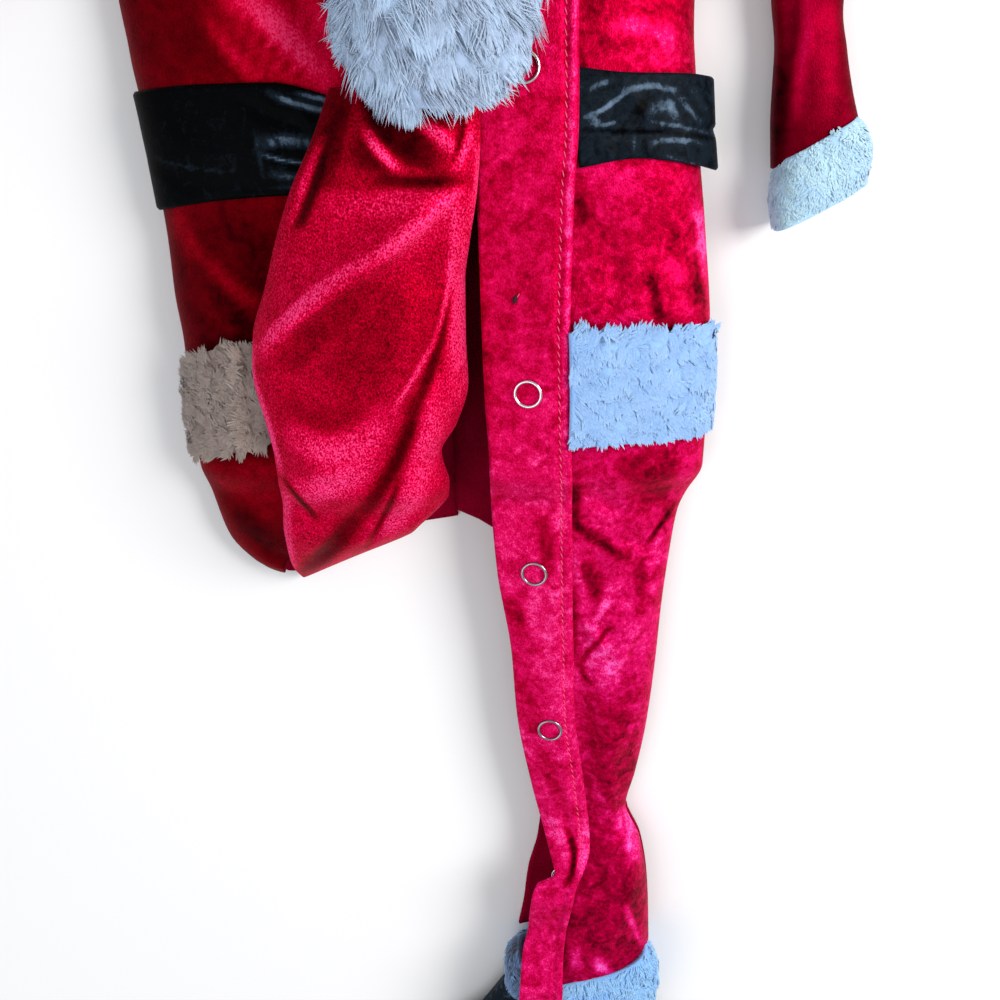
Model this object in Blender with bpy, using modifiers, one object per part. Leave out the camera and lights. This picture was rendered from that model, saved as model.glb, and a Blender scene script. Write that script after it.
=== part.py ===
"""Baby's footed Santa coverall of crushed velvet, laid on its back.

The wearer's left leg lies straight. The right leg is folded up over the front at the hip,
so that its back faces up, and its fur cuff and boot lie under the beard.
Tables are in millimetres: x to the wearer's left, y towards the head, z up from the floor.
The origin is on the underside, at the crotch.
"""

import math

import bmesh
import bpy
import numpy as np
from mathutils import Vector

MM = 0.001
SEAM_GAP = 0.3
# Room left under a piece that lies on a rounded one, so that the flats of both stay apart.
SEAM_CLEAR = 0.7
BAND_CLEAR = 1.1
VELVET = 1.5
BAND = 2.0
LEATHERETTE = 1.2
FUR = 5.0

ROUNDNESS = 2.5
CURL_RISE = 2.4
CURL_REACH = 9.0
CHEST = 255.0
NECK_X = -27.0
NECK_HALF = 39.0
NECK_DROP_FRONT = 26.0
NECK_DROP_BACK = 8.0
SHOULDER_TOP = 318.0
SHOULDER_SLOPE = 0.3

# The wearer's left front, from neck to ankle: y, left side, right side, crown above the seam.
LEFT_SECTIONS = [
    (318, -114, 52, 3),
    (303, -120, 56, 8),
    (285, -125, 60, 14),
    (255, -128, 63, 20),
    (225, -128, 64, 23),
    (188, -126, 64.5, 25),
    (150, -121.5, 68, 26),
    (117, -119, 73, 24),
    (93, -118, 76, 23),
    (75, -116.5, 77.5, 22),
    (50, -116.5, 78.5, 21),
    (27, -116, 78.5, 20),
    (6, -80, 71, 19),
    (-10, -24, 69, 18),
    (-37, -6, 67, 17),
    (-64, 0, 66, 16),
    (-94, 4, 64, 15),
    (-120, 10, 60.5, 14),
    (-139, 15, 57, 13),
    (-159, 15, 64.5, 16),
    (-180, 11, 68.5, 20),
    (-208, 8, 71, 23),
    (-229, 7, 72, 24),
    (-262, 7, 72, 24),
]
# The wearer's right front, from neck to the fold at the hip, with the same columns.
RIGHT_SECTIONS = [row for row in LEFT_SECTIONS if row[0] >= 27] + [
    (6, -112, -8, 17),
    (-5, -109, -24, 13),
    (-16, -100.5, -50, 9),
    (-25, -87, -74, 4),
]
# How far fur trim and belt under the back hold it up: y, height.
BACK_LIFT = [
    (330, 0),
    (178, 0),
    (166, 1.7),
    (116, 1.7),
    (80, 5),
    (28, 5),
    (14, 0),
    (-270, 0),
]
# The placket band: y, left edge, right edge, droop of its left edge, lift over what it crosses.
PLACKET = [
    (318, -24, 8, 0, 0),
    (285, -18, 14, 0, 0),
    (250, -11, 21, 0, 0),
    (215, -8, 24, 0, 0),
    (187, -7.5, 24.6, 0, 0),
    (147, -7.4, 25.4, 0, 0),
    (129, -7.5, 24.6, 0, 0),
    (112, -7.2, 24.5, 1.5, 0),
    (91, -6.7, 24.3, 5, 0),
    (56, -5.5, 25.4, 6, 0),
    (35, -4.1, 26.3, 6, 0),
    (15, -3.5, 27.3, 6, 0),
    (-15, -1.2, 28.3, 5, 0),
    (-51, 4.5, 30, 4, 0),
    (-84, 7.2, 31.6, 4, 0),
    (-118, 13.4, 36.4, 3, 0),
    (-154, 22, 40.2, 2, 0.5),
    (-163, 24.5, 36.5, 0, 3.4),
    (-166.5, 17, 34.5, 0, 3.6),
    (-174, 14.2, 33, 0, 3.4),
    (-184, 13.4, 31.5, 1, 1.4),
    (-194, 12.9, 30, 2, 0),
    (-206, 10.5, 29, 2, 1),
    (-222, 9, 28.5, 0, 7.4),
    (-236, 8.1, 28.2, 0, 7.6),
    (-256, 8, 28, 0, 7.6),
]
# The band laps this far over the front that it is sewn on, and rests on it from this y upwards.
BAND_LAP = 8.0
BAND_BACKED_FROM = 85.0
BAND_BACKED_BY = 110.0
SNAP_RADIUS = 4.7
SNAP_WIRE = 0.55
SNAP_CLEAR = 0.6
PINCHED_SNAP_CLEAR = 1.1
# Ring snaps on the band: x, y.
SNAPS = [(7.4, 167), (10, 60.5), (13.4, -14.2), (21, -88.4)]
# The last snap is caught under the pinch above the ankle: x, y.
PINCHED_SNAP = (26.8, -165)
PINCHED_SNAP_FACING = (-0.1, 0.0, 1.0)
# Wide creases in the left front: start x, start y, end x, end y, half width, depth.
LEG_FOLDS = [
    (29, -20, 43, -178, 6, 4.5),
    (76, 30, 44, -40, 9, 2.5),
    (60, -100, 54, -142, 8, 2.5),
]
# The folded leg's rows from the fold to its cuff: how far along, left x, left y, right x,
# right y, crown above the front, drop of the right edge into the front opening.
FLAP = [
    (0.00, -80.5, -26, -39, -3.5, 5, 9),
    (0.07, -82.5, -11, -29, 6, 8, 10),
    (0.14, -82.5, 4, -19.5, 17, 10, 10),
    (0.22, -81.5, 22, -19, 25, 11, 9),
    (0.30, -82, 37, -21.5, 37, 11, 8),
    (0.37, -84, 50, -15.5, 48, 11, 10),
    (0.46, -87, 67, -11.4, 63, 11, 11),
    (0.55, -85.5, 82, -12, 80, 11, 11),
    (0.64, -80, 98, -12, 98, 11, 9),
    (0.73, -75, 114, -10.3, 114, 11, 2),
    (0.82, -68.5, 130, -9, 130, 10, 0),
    (0.91, -60, 146, -8.2, 146, 9, 0),
    (1.00, -53.5, 161, -8.8, 161, 9, 0),
]
FLAP_REST = 2.8
FLAP_CLEAR = 1.4 * VELVET
FLAP_ROUNDNESS = 2.2
# The leg turns up over this share of its length, and its right part drops from this x inwards.
FLAP_TURN = 0.11
FLAP_FREE_X = -34.0
# Large creases across the folded leg: start x, start y, end x, end y, half width, depth.
FLAP_FOLDS = [
    (-12, 126, -86, 78, 7, -2.5),
    (-20, 116, -80, 66, 9, 2.5),
    (-24, 78, -70, -2, 6, 3),
    (-58, 132, -12, 132, 5, 2),
]
# The layers inside the folded leg: where they start across and along it, their share, depth.
LAYERS_FROM = (0.22, 0.12)
LAYERS_SHARE = (0.54, 0.85)
LAYERS_DEEP = 14.0
# The wearer's right front ends under the folded leg: y, inner edge.
RIGHT_FRONT_EDGE = [
    (318, -9),
    (285, -3),
    (250, 5),
    (215, 14),
    (150, 16),
    (132, 14),
    (122, -14),
    (112, -28),
    (92, -33),
    (40, -36),
    (27, -37),
    (6, -42),
    (-5, -52),
    (-16, -69),
    (-25, -78),
]
# The lower end of the right front, tucked into the fold: x, y.
RIGHT_FRONT_END = [
    (-113, 8),
    (-100, -14),
    (-88, -21),
    (-84, -14),
    (-79, 2),
]
# The fold of the right leg, where its back turns up over the front: x, y.
FOLD_LINE = [(-112, 10), (-100, -16), (-86, -24.5), (-68, -18), (-44, -6), (-17, 0.5)]
# The centre back seam, and then the inner edge of the left leg's back: y, x.
BACK_SEAM = [
    (318, -27),
    (188, -27),
    (60, -19),
    (2, -17),
    (-3, -4),
    (-12, 0.5),
    (-50, 5),
    (-84, 9),
    (-118, 15),
    (-140, 19.5),
    (-161, 18),
    (-179, 14),
    (-197, 12),
    (-214, 9.5),
]
ANKLE_SEAM = -214.0
# The seam between the fronts and the legs of the coverall, under the hip trim.
HIP_SEAM = 56.0
ANKLE_BOW = 12.0
ANKLE_SKEW = 10.0
# Fur cuff of the left leg: inner x, inner y, outer x, outer y, floor, height.
ANKLE_CUFF_LEFT = [
    (3, -216.5, 77, -216.5, 0, 34),
    (2.4, -222, 77.5, -229, 0, 34.5),
    (2, -228, 75.5, -246, 0, 34),
    (2.2, -233.5, 73.5, -259, 0, 32),
]
# Left boot, lying on its side with the toe inwards, with the same columns.
BOOT_LEFT = [
    (2, -237, 71, -262, 1, 27),
    (-6, -251, 73, -277, 0, 27),
    (-13, -261, 69, -297, 0, 26),
    (-22, -270, 52, -309, 0, 24),
    (-31, -278, 22, -313, 0, 21),
    (-40, -285, -10, -313, 0, 17),
    (-46, -293, -30, -309, 1, 12),
]
# Cuff and boot of the folded leg, flat under the beard, measured up from the front.
ANKLE_CUFF_RIGHT = [
    (-48, 163.5, -10.5, 163.5, 1.2, 10),
    (-47.5, 182, -10.5, 182, 1.2, 11),
    (-46.5, 200, -11, 200, 1.2, 11),
]
BOOT_RIGHT = [
    (-46, 203, -12, 203, 1.2, 9.5),
    (-47, 226, -13, 224, 1.2, 9.5),
    (-46, 246, -16, 242, 1.2, 8.5),
    (-41, 260, -22, 257, 1.2, 6),
]
# How squarely a laid tube's section is filled, across and upwards. A round one has 1 and 1.
TUBE_FLATNESS = (0.85, 0.75)
# Sleeves and their fur cuffs: inner x, inner y, outer x, outer y, floor, height.
SLEEVE_LEFT = [
    (66, 228, 58.6, 304, 0, 15),
    (73, 220, 80, 298, 0, 17),
    (80, 209, 99, 280, 0, 18),
    (86, 200, 110, 252, 0, 18),
    (89, 194, 113, 220, 0, 17),
    (90, 187, 113, 188, 0, 16),
    (92.5, 172, 116, 173, 0, 16),
    (93, 154, 119.5, 160, 0, 17),
    (94.8, 135, 122.5, 151.8, 0, 17),
]
SLEEVE_CUFF_LEFT = [
    (93.6, 134.2, 124.5, 151.6, 0, 21),
    (94, 124, 128.5, 141, 0, 22),
    (96.5, 113.5, 128, 131, 0, 21),
]
SLEEVE_RIGHT = [
    (-130, 228, -122.6, 304, 0, 15),
    (-141, 222, -140, 297, 0, 17),
    (-156, 212, -166, 277, 0, 18),
    (-172, 200, -188, 252, 0, 18),
    (-190, 185, -209, 229, 0, 17),
    (-207, 170, -228, 208, 0, 16),
    (-222, 156, -245, 191, 0, 16),
    (-234, 144, -258, 177, 0, 17),
]
SLEEVE_CUFF_RIGHT = [
    (-233.2, 142, -260, 177.6, 0, 21),
    (-241, 134.5, -268, 169.5, 0, 22),
    (-250, 128, -274.5, 161, 0, 21),
]
# Belt pieces on the fronts: x, lower edge, upper edge.
BELT_LEFT_FRONT = [(27.3, 136.6, 167.4), (44, 139.4, 165.6), (60, 137.4, 165.5), (76, 131, 163)]
BELT_RIGHT_FRONT = [(-127, 120, 159), (-94, 126, 162), (-70, 128, 162.5), (-50, 129, 158)]
BELT_BACK = (123.0, 159.0)
# Hip trim pieces on the fronts, with the same columns.
TRIM_LEFT_FRONT = [(26.8, 39.8, 84), (54, 40.5, 82.5), (72, 40, 82.5), (82, 41.5, 78)]
TRIM_RIGHT_FRONT = [(-120, 30, 58), (-106, 30, 75), (-94, 34, 79), (-78, 40, 79.5)]
TRIM_BACK = (36.0, 72.0)
TRIM_BACK_THICK = 4.0
TRIM_MIDDLE = 7.0
TRIM_SIDE = 2.0
# The folded leg presses the trim under it flat from here inwards.
PRESSED_X = -93.0
PRESSED = 1.4
# The beard from its tip up to the neck: y, left edge, right edge, lift over the folded leg.
BEARD = [
    (150.5, -25, -18, 15),
    (152, -33, -9, 15),
    (156, -41, 0, 15),
    (164, -49, 9.5, 15),
    (175, -53, 14, 15),
    (190, -55, 16, 15),
    (230, -59, 15, 14),
    (262, -62, 13, 11),
    (310, -62, 10, 3),
]
BEARD_X = -19.5
BEARD_HALF = 37.0
BEARD_CLEAR = 5.2
BEARD_PILE = 13.0
BEARD_RIM = 2.0
BEARD_TAPER = 25.0
BINDING_RADIUS = 2.2
BINDING_STEPS = 13
BINDING_SIDE_Z = 8.0

VELVET_RED = (0.42, 0.0, 0.03, 1.0)
VELVET_INSIDE = (0.2, 0.0, 0.012, 1.0)
FUR_WHITE = (0.82, 0.84, 0.86, 1.0)
LEATHER_BLACK = (0.012, 0.014, 0.018, 1.0)
STEEL = (0.72, 0.72, 0.74, 1.0)


def smooth(rows):
    """Gives a function that reads a table smoothly between its rows, by its first column."""
    table = np.array(sorted(rows), float)
    keys, values = table[:, 0], table[:, 1:]
    rates = np.diff(values, axis=0) / np.diff(keys)[:, None]
    same_way = rates[:-1] * rates[1:] > 0
    total = np.where(same_way, rates[:-1] + rates[1:], 1.0)
    slopes = np.vstack(
        [rates[:1], np.where(same_way, 2 * rates[:-1] * rates[1:] / total, 0.0), rates[-1:]]
    )

    def read(key):
        row = int(np.clip(np.searchsorted(keys, key) - 1, 0, len(keys) - 2))
        span = keys[row + 1] - keys[row]
        t = min(max((key - keys[row]) / span, 0.0), 1.0)
        start = (1 + 2 * t) * (1 - t) ** 2
        end = t * t * (3 - 2 * t)
        leave = t * (1 - t) ** 2 * span
        arrive = t * t * (t - 1) * span
        found = start * values[row] + end * values[row + 1]
        return found + leave * slopes[row] + arrive * slopes[row + 1]

    return read


left_section = smooth(LEFT_SECTIONS)
right_section = smooth(RIGHT_SECTIONS)
back_lift = smooth(BACK_LIFT)
placket_row = smooth(PLACKET)
flap_row = smooth(FLAP)
right_front_edge = smooth(RIGHT_FRONT_EDGE)
back_seam = smooth(BACK_SEAM)


def trough(x, y, folds):
    """Depth of the creases at a place, each a soft channel that fades out at its ends."""
    depth = 0.0
    for start_x, start_y, end_x, end_y, width, deep in folds:
        along_x, along_y = end_x - start_x, end_y - start_y
        length = math.hypot(along_x, along_y)
        t = ((x - start_x) * along_x + (y - start_y) * along_y) / length**2
        off = ((x - start_x) * along_y - (y - start_y) * along_x) / length
        if 0 < t < 1:
            depth += deep * math.exp(-((off / width) ** 2)) * math.sin(math.pi * t) ** 0.7
    return depth


def top_line(x, neck_drop):
    """The y of a panel's top: the neck curve, and the shoulder seam on each side of it."""
    out = abs(x - NECK_X) / NECK_HALF
    if out < 1:
        return SHOULDER_TOP - neck_drop * math.sqrt(1 - out * out)
    return SHOULDER_TOP - SHOULDER_SLOPE * (out - 1) * NECK_HALF


def below_top(x, y, neck_drop):
    """Moves a row above the chest down, so that the last row ends on the top line."""
    if y <= CHEST:
        return y
    return CHEST + (y - CHEST) * (top_line(x, neck_drop) - CHEST) / (SHOULDER_TOP - CHEST)


def seam_height(y):
    return back_lift(y)[0] + CURL_RISE + VELVET + SEAM_GAP + SEAM_CLEAR


def front_height(x, y, section, folds=()):
    """Height of a front's outer face, a rounded section from side seam to side seam."""
    left, right, crown = section(y)
    out = min(abs(2 * x - left - right) / (right - left), 1.0)
    dome = crown * (1 - out**ROUNDNESS) ** (1 / ROUNDNESS)
    return seam_height(y) + dome - trough(x, y, folds) * (1 - out**4)


def new_object(name, mesh, material):
    obj = bpy.data.objects.new(name, mesh)
    obj.data.materials.append(material)
    garment.objects.link(obj)
    return obj


def new_material(name, color, roughness, metallic=0.0):
    material = bpy.data.materials.new(name)
    material.use_nodes = True
    shader = material.node_tree.nodes["Principled BSDF"]
    shader.inputs["Base Color"].default_value = color
    shader.inputs["Roughness"].default_value = roughness
    shader.inputs["Metallic"].default_value = metallic
    return material


def sheet(name, material, across, along, place, wall, closed=False):
    """A cloth wall: a grid whose points place(a, b) sets, thickened inwards unless wall is 0."""
    shape = bmesh.new()
    bmesh.ops.create_grid(shape, x_segments=across, y_segments=along, size=0.5)
    for vert in shape.verts:
        vert.co = Vector(place(vert.co.x + 0.5, vert.co.y + 0.5)) * MM
    if closed:
        bmesh.ops.remove_doubles(shape, verts=shape.verts, dist=0.01 * MM)
        bmesh.ops.recalc_face_normals(shape, faces=shape.faces)
    mesh = bpy.data.meshes.new(name)
    shape.to_mesh(mesh)
    shape.free()
    mesh.shade_smooth()
    obj = new_object(name, mesh, material)
    if wall:
        thick = obj.modifiers.new("wall", "SOLIDIFY")
        thick.thickness = wall * MM
        thick.offset = -1
        thick.use_even_offset = True
    return obj


def slab(name, material, across, along, upper, lower):
    """A closed piece between two grids, such as a fur band with its cloth backing."""
    shape = bmesh.new()
    for place, under in ((upper, False), (lower, True)):
        made = bmesh.ops.create_grid(shape, x_segments=across, y_segments=along, size=0.5)
        for vert in made["verts"]:
            vert.co = Vector(place(vert.co.x + 0.5, vert.co.y + 0.5)) * MM
        if under:
            faces = list({face for vert in made["verts"] for face in vert.link_faces})
            bmesh.ops.reverse_faces(shape, faces=faces)
    rims = [edge for edge in shape.edges if edge.is_boundary]
    bmesh.ops.bridge_loops(shape, edges=rims)
    bmesh.ops.recalc_face_normals(shape, faces=shape.faces)
    mesh = bpy.data.meshes.new(name)
    shape.to_mesh(mesh)
    shape.free()
    mesh.shade_smooth()
    return new_object(name, mesh, material)


def front_panel(name, across, along, section, edges, bottom, top, folds):
    """A front or the front of a leg, where edges(y), bottom(x) and top give where it is cut."""

    def across_at(a, y):
        left, right, _ = section(y)
        middle, half = (left + right) / 2, (right - left) / 2
        ends = [math.acos(min(max((middle - x) / half, -1), 1)) for x in edges(y)]
        angle = ends[0] + (ends[1] - ends[0]) * a
        return middle - half * math.cos(angle)

    def place(a, b):
        low = bottom(across_at(a, bottom(section(ANKLE_SEAM)[0])))
        y = low + (top - low) * b
        x = across_at(a, y)
        return x, below_top(x, y, NECK_DROP_FRONT), front_height(x, y, section, folds)

    return sheet(name, velvet, across, along, place, VELVET)


def back_panel(name, across, along, edges, rows, bottom=None):
    """A back on the floor, whose side edges curl up to the fronts."""
    first, last = rows

    def place(a, b):
        left, right = edges(first + (last - first) * b)
        x = left + (right - left) * a
        start = bottom(x) if bottom else first
        y = start + (last - start) * b
        left, right = edges(y)
        x = left + (right - left) * a
        side = min(abs(x - outline(y, left_section)[0]), abs(outline(y, left_section)[1] - x))
        curl = max(0.0, 1 - side / CURL_REACH)
        z = back_lift(y)[0] + VELVET + CURL_RISE * curl * curl
        return x, below_top(x, y, NECK_DROP_BACK), z

    return sheet(name, velvet_inside, across, along, place, VELVET)


def outline(y, section):
    left, right, _ = section(y)
    return left, right


def tube(name, material, rungs, wall, around, along, base=None, shut=False, bow=0.0, skew=0.0):
    """A sleeve, cuff or boot lofted through rungs, each a flattened ring between two points."""
    keyed = smooth([(i / (len(rungs) - 1), *rung) for i, rung in enumerate(rungs)])

    def place(a, b):
        near_x, near_y, far_x, far_y, floor, height = keyed(b)
        if (shut and b > 0.999) or (not wall and b < 0.001):
            x, y = (near_x + far_x) / 2, (near_y + far_y) / 2
            return x, y, floor + height / 2 + (base(x, y) if base else 0.0)
        turn = 2 * math.pi * a
        c, s = math.cos(turn), math.sin(turn)
        run = math.copysign(abs(c) ** TUBE_FLATNESS[0], c) / 2
        x = (near_x + far_x) / 2 + (far_x - near_x) * run
        y = (near_y + far_y) / 2 + (far_y - near_y) * run
        z = floor + height / 2 * (1 + math.copysign(abs(s) ** TUBE_FLATNESS[1], s))
        if base:
            z += base(x, y)
        return x, y - (bow - skew * c) * (1 - b) * max(s, 0.0), z

    return sheet(name, material, around, along, place, wall, closed=True)


def on_front(x, y):
    return front_height(x, y, right_section)


def ankle_line(x):
    """The lower edge of the left front, which dips over the round of the ankle."""
    left, right, _ = left_section(ANKLE_SEAM)
    out = max(-1.0, min((2 * x - left - right) / (right - left), 1.0))
    return ANKLE_SEAM - (ANKLE_BOW - ANKLE_SKEW * out) * math.sqrt(1 - out * out)


def flap_point(a, b):
    """Outer face of the folded leg, from its left edge to its right, and fold to cuff."""
    left_x, left_y, right_x, right_y, crown, drop = flap_row(b)
    ends = 0.5 - 0.5 * math.cos(math.pi * a)
    x = left_x + (right_x - left_x) * ends
    y = left_y + (right_y - left_y) * ends
    puff = crown * (1 - abs(2 * ends - 1) ** FLAP_ROUNDNESS) ** (1 / FLAP_ROUNDNESS)
    inwards = right_x - FLAP_FREE_X
    free = max(0.0, (x - FLAP_FREE_X) / inwards) if inwards > 0 else 0.0
    rest = on_front(x, y) + FLAP_REST + FLAP_CLEAR - drop * free * free
    fold = math.sqrt(max(0.0, 1 - (1 - min(b / FLAP_TURN, 1)) ** 2))
    low = VELVET + SEAM_GAP + FLAP_CLEAR
    z = low + (rest + puff - low) * fold - trough(x, y, FLAP_FOLDS) * (1 - abs(2 * ends - 1) ** 4)
    return x, y, max(z, low)


def build_fronts():
    def hip(x):
        return HIP_SEAM + SEAM_GAP / 2

    def left_edges(y):
        return placket_row(y)[1] - BAND_LAP, left_section(y)[1]

    def right_edges(y):
        return right_section(y)[0], right_front_edge(y)[0]

    front_panel("front_left", 8, 13, left_section, left_edges, hip, SHOULDER_TOP, LEG_FOLDS)
    front_panel("front_right", 10, 15, right_section, right_edges, hip, SHOULDER_TOP, ())
    under_trim = HIP_SEAM - SEAM_GAP / 2
    front_panel(
        "leg_left_front", 8, 15, left_section, left_edges, ankle_line, under_trim, LEG_FOLDS
    )
    tuck_line = smooth(RIGHT_FRONT_END)
    front_panel(
        "leg_right_front",
        10,
        6,
        right_section,
        right_edges,
        lambda x: tuck_line(x)[0],
        under_trim,
        (),
    )


def build_backs():
    back_panel(
        "back_left",
        7,
        28,
        lambda y: (back_seam(y)[0] + SEAM_GAP / 2, left_section(y)[1]),
        (ANKLE_SEAM, SHOULDER_TOP),
    )
    fold_line = smooth(FOLD_LINE)
    back_panel(
        "back_right",
        8,
        18,
        lambda y: (right_section(y)[0], back_seam(max(y, 2))[0] - SEAM_GAP / 2),
        (-24.5, SHOULDER_TOP),
        bottom=lambda x: fold_line(x)[0],
    )


def build_folded_leg():
    sheet("leg_right_back", velvet, 12, 18, flap_point, VELVET)

    def upper(a, b):
        x, y, z = flap_point(LAYERS_FROM[0] + LAYERS_SHARE[0] * a, LAYERS_FROM[1] + LAYERS_SHARE[1] * b)
        return x, y, z - 2.2 * VELVET - SEAM_GAP

    def lower(a, b):
        x, y, z = upper(a, b)
        rest = on_front(x, y) + FLAP_REST - 0.4
        return x, y, min(z - 1.0, max(rest, z - LAYERS_DEEP))

    slab("leg_right_layers", velvet_inside, 8, 12, upper, lower)


def band_point(a, y, out):
    """A point on the placket band, at a share of its width and a height above its underside."""
    left, right, droop, lift = placket_row(y)
    x = left + (right - left) * a
    sewn = right - BAND_LAP
    free = max(0.0, (sewn - x) / (sewn - left))
    backed = (y - BAND_BACKED_FROM) / (BAND_BACKED_BY - BAND_BACKED_FROM)
    backed = min(max(backed, 0.0), 1.0)
    over_panel = front_height(x, y, left_section, LEG_FOLDS)
    level = front_height(max(x, sewn), y, left_section, LEG_FOLDS)
    z = level + (over_panel - level) * backed + SEAM_GAP + BAND_CLEAR + lift
    z -= droop * free**1.5
    return x, below_top(x, y, NECK_DROP_FRONT), z + out


def build_placket():
    first, last = PLACKET[-1][0], PLACKET[0][0] - 2

    def place(out):
        return lambda a, b: band_point(a, first + (last - first) * b, out)

    slab("placket", velvet, 4, 34, place(BAND), place(0.0))
    for number, (x, y) in enumerate(SNAPS, 1):
        left, right, *_ = placket_row(y)
        share, reach = (x - left) / (right - left), SNAP_RADIUS / (right - left)
        at_left, at_right = (Vector(band_point(share + side, y, BAND)) for side in (-reach, reach))
        at_foot, at_head = (
            Vector(band_point(share, y + side, BAND)) for side in (-SNAP_RADIUS, SNAP_RADIUS)
        )
        normal = (at_right - at_left).cross(at_head - at_foot).normalized()
        middle = (at_left + at_right + at_foot + at_head) / 4
        add_snap(f"snap_{number}", middle + normal * (SNAP_WIRE + SNAP_CLEAR), normal)
    x, y = PINCHED_SNAP
    z = front_height(x, y, left_section, LEG_FOLDS) + SNAP_WIRE + PINCHED_SNAP_CLEAR
    add_snap(f"snap_{len(SNAPS) + 1}", Vector((x, y, z)), Vector(PINCHED_SNAP_FACING))


def add_snap(name, place, facing):
    bpy.ops.mesh.primitive_torus_add(
        location=place * MM,
        rotation=facing.to_track_quat("Z", "Y").to_euler(),
        major_segments=14,
        minor_segments=5,
        major_radius=SNAP_RADIUS * MM,
        minor_radius=SNAP_WIRE * MM,
    )
    ring = bpy.context.active_object
    ring.name = name
    ring.data.materials.append(steel)
    ring.data.shade_smooth()
    for collection in ring.users_collection:
        collection.objects.unlink(ring)
    garment.objects.link(ring)


def applied(name, material, edges, section, to_left, thickness, across, along, proud=0.0):
    """A belt or trim piece on a front: edges has rows of x, lower y, upper y."""
    span = smooth(edges)
    side_x, inner_x = (edges[-1][0], edges[0][0]) if to_left else (edges[0][0], edges[-1][0])
    left, right, _ = section(sum(span(side_x)) / 2)
    middle, half = (left + right) / 2, (right - left) / 2
    inner = math.acos((middle - inner_x) / half)
    outer = math.pi if to_left else 0.0

    def place(out):
        def point(a, b):
            angle = inner + (outer - inner) * (a if to_left else 1 - a)
            share = -math.cos(angle)
            low_y, high_y = span(middle + half * share)
            y = low_y + (high_y - low_y) * b
            row_left, row_right, crown = section(y)
            x = (row_left + row_right) / 2 + (row_right - row_left) / 2 * share
            flat = abs(share)
            depth = SEAM_GAP + SEAM_CLEAR + out * thickness(x, flat) + proud * flat**8
            dome = crown * (1 - min(flat, 1) ** ROUNDNESS) ** (1 / ROUNDNESS)
            x += math.copysign(flat**4, share) * depth
            return x, y, seam_height(y) + dome + depth * (1 - flat**4)

        return point

    slab(name, material, across, along, place(1.0), place(0.0))


def pile_depth(x, flat):
    """Fur trim is thinner at the side, and pressed flat under the folded leg."""
    depth = TRIM_MIDDLE + (TRIM_SIDE - TRIM_MIDDLE) * flat**4
    pressed = min(max((x - PRESSED_X) / 3, 0.0), 1.0) if x < 0 else 0.0
    return depth + (PRESSED - depth) * pressed


def belt_depth(x, flat):
    return LEATHERETTE


def build_belt_and_trim():
    applied("belt_left", leather, BELT_LEFT_FRONT, left_section, True, belt_depth, 9, 3, 4.0)
    applied("belt_right", leather, BELT_RIGHT_FRONT, right_section, False, belt_depth, 9, 3)
    applied("trim_left", fur, TRIM_LEFT_FRONT, left_section, True, pile_depth, 8, 4)
    applied("trim_right", fur, TRIM_RIGHT_FRONT, right_section, False, pile_depth, 9, 4)
    for name, (low, high), thick, material in (
        ("belt_back", BELT_BACK, LEATHERETTE, leather),
        ("trim_back", TRIM_BACK, TRIM_BACK_THICK, fur),
    ):

        def place(z):
            def point(a, b):
                y = low + (high - low) * b
                left, right, _ = left_section(y)
                return left + (right - left) * a, y, z

            return point

        slab(name, material, 8, 3, place(thick), place(0.0))


def build_beard():
    span = smooth(BEARD)
    tip, neck = BEARD[0][0], BEARD[-1][0]

    def place(out):
        def point(a, b):
            y = tip + (neck - tip) * b**1.7
            left, right, lift = span(y)
            x = left + (right - left) * a
            out_share = abs(2 * a - 1)
            raised = lift * (1 - min(1.0, abs(x - BEARD_X) / BEARD_HALF) ** 4) ** 0.5
            z = front_height(x, y, left_section) + BEARD_CLEAR + raised
            tall = min(1.0, (y - tip) / BEARD_TAPER + 0.25)
            pile = BEARD_RIM + BEARD_PILE * (1 - out_share**3) ** 0.5 * tall
            return x, below_top(x, y, NECK_DROP_FRONT), z + out * pile

        return point

    slab("beard", fur, 10, 11, place(1.0), place(0.0))


def build_limbs():
    tube("sleeve_left", velvet, SLEEVE_LEFT, VELVET, 12, 10)
    tube("sleeve_right", velvet, SLEEVE_RIGHT, VELVET, 12, 9)
    tube("sleeve_cuff_left", fur, SLEEVE_CUFF_LEFT, FUR, 14, 2)
    tube("sleeve_cuff_right", fur, SLEEVE_CUFF_RIGHT, FUR, 14, 2)
    tube("ankle_cuff_left", fur, ANKLE_CUFF_LEFT, FUR, 16, 3, bow=ANKLE_BOW, skew=ANKLE_SKEW)
    tube("boot_left", leather, BOOT_LEFT, LEATHERETTE, 14, 8, shut=True)
    tube("ankle_cuff_right", fur, ANKLE_CUFF_RIGHT, 0.0, 14, 4, base=on_front, shut=True)
    tube("boot_right", leather, BOOT_RIGHT, 0.0, 12, 6, base=on_front, shut=True)


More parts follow.
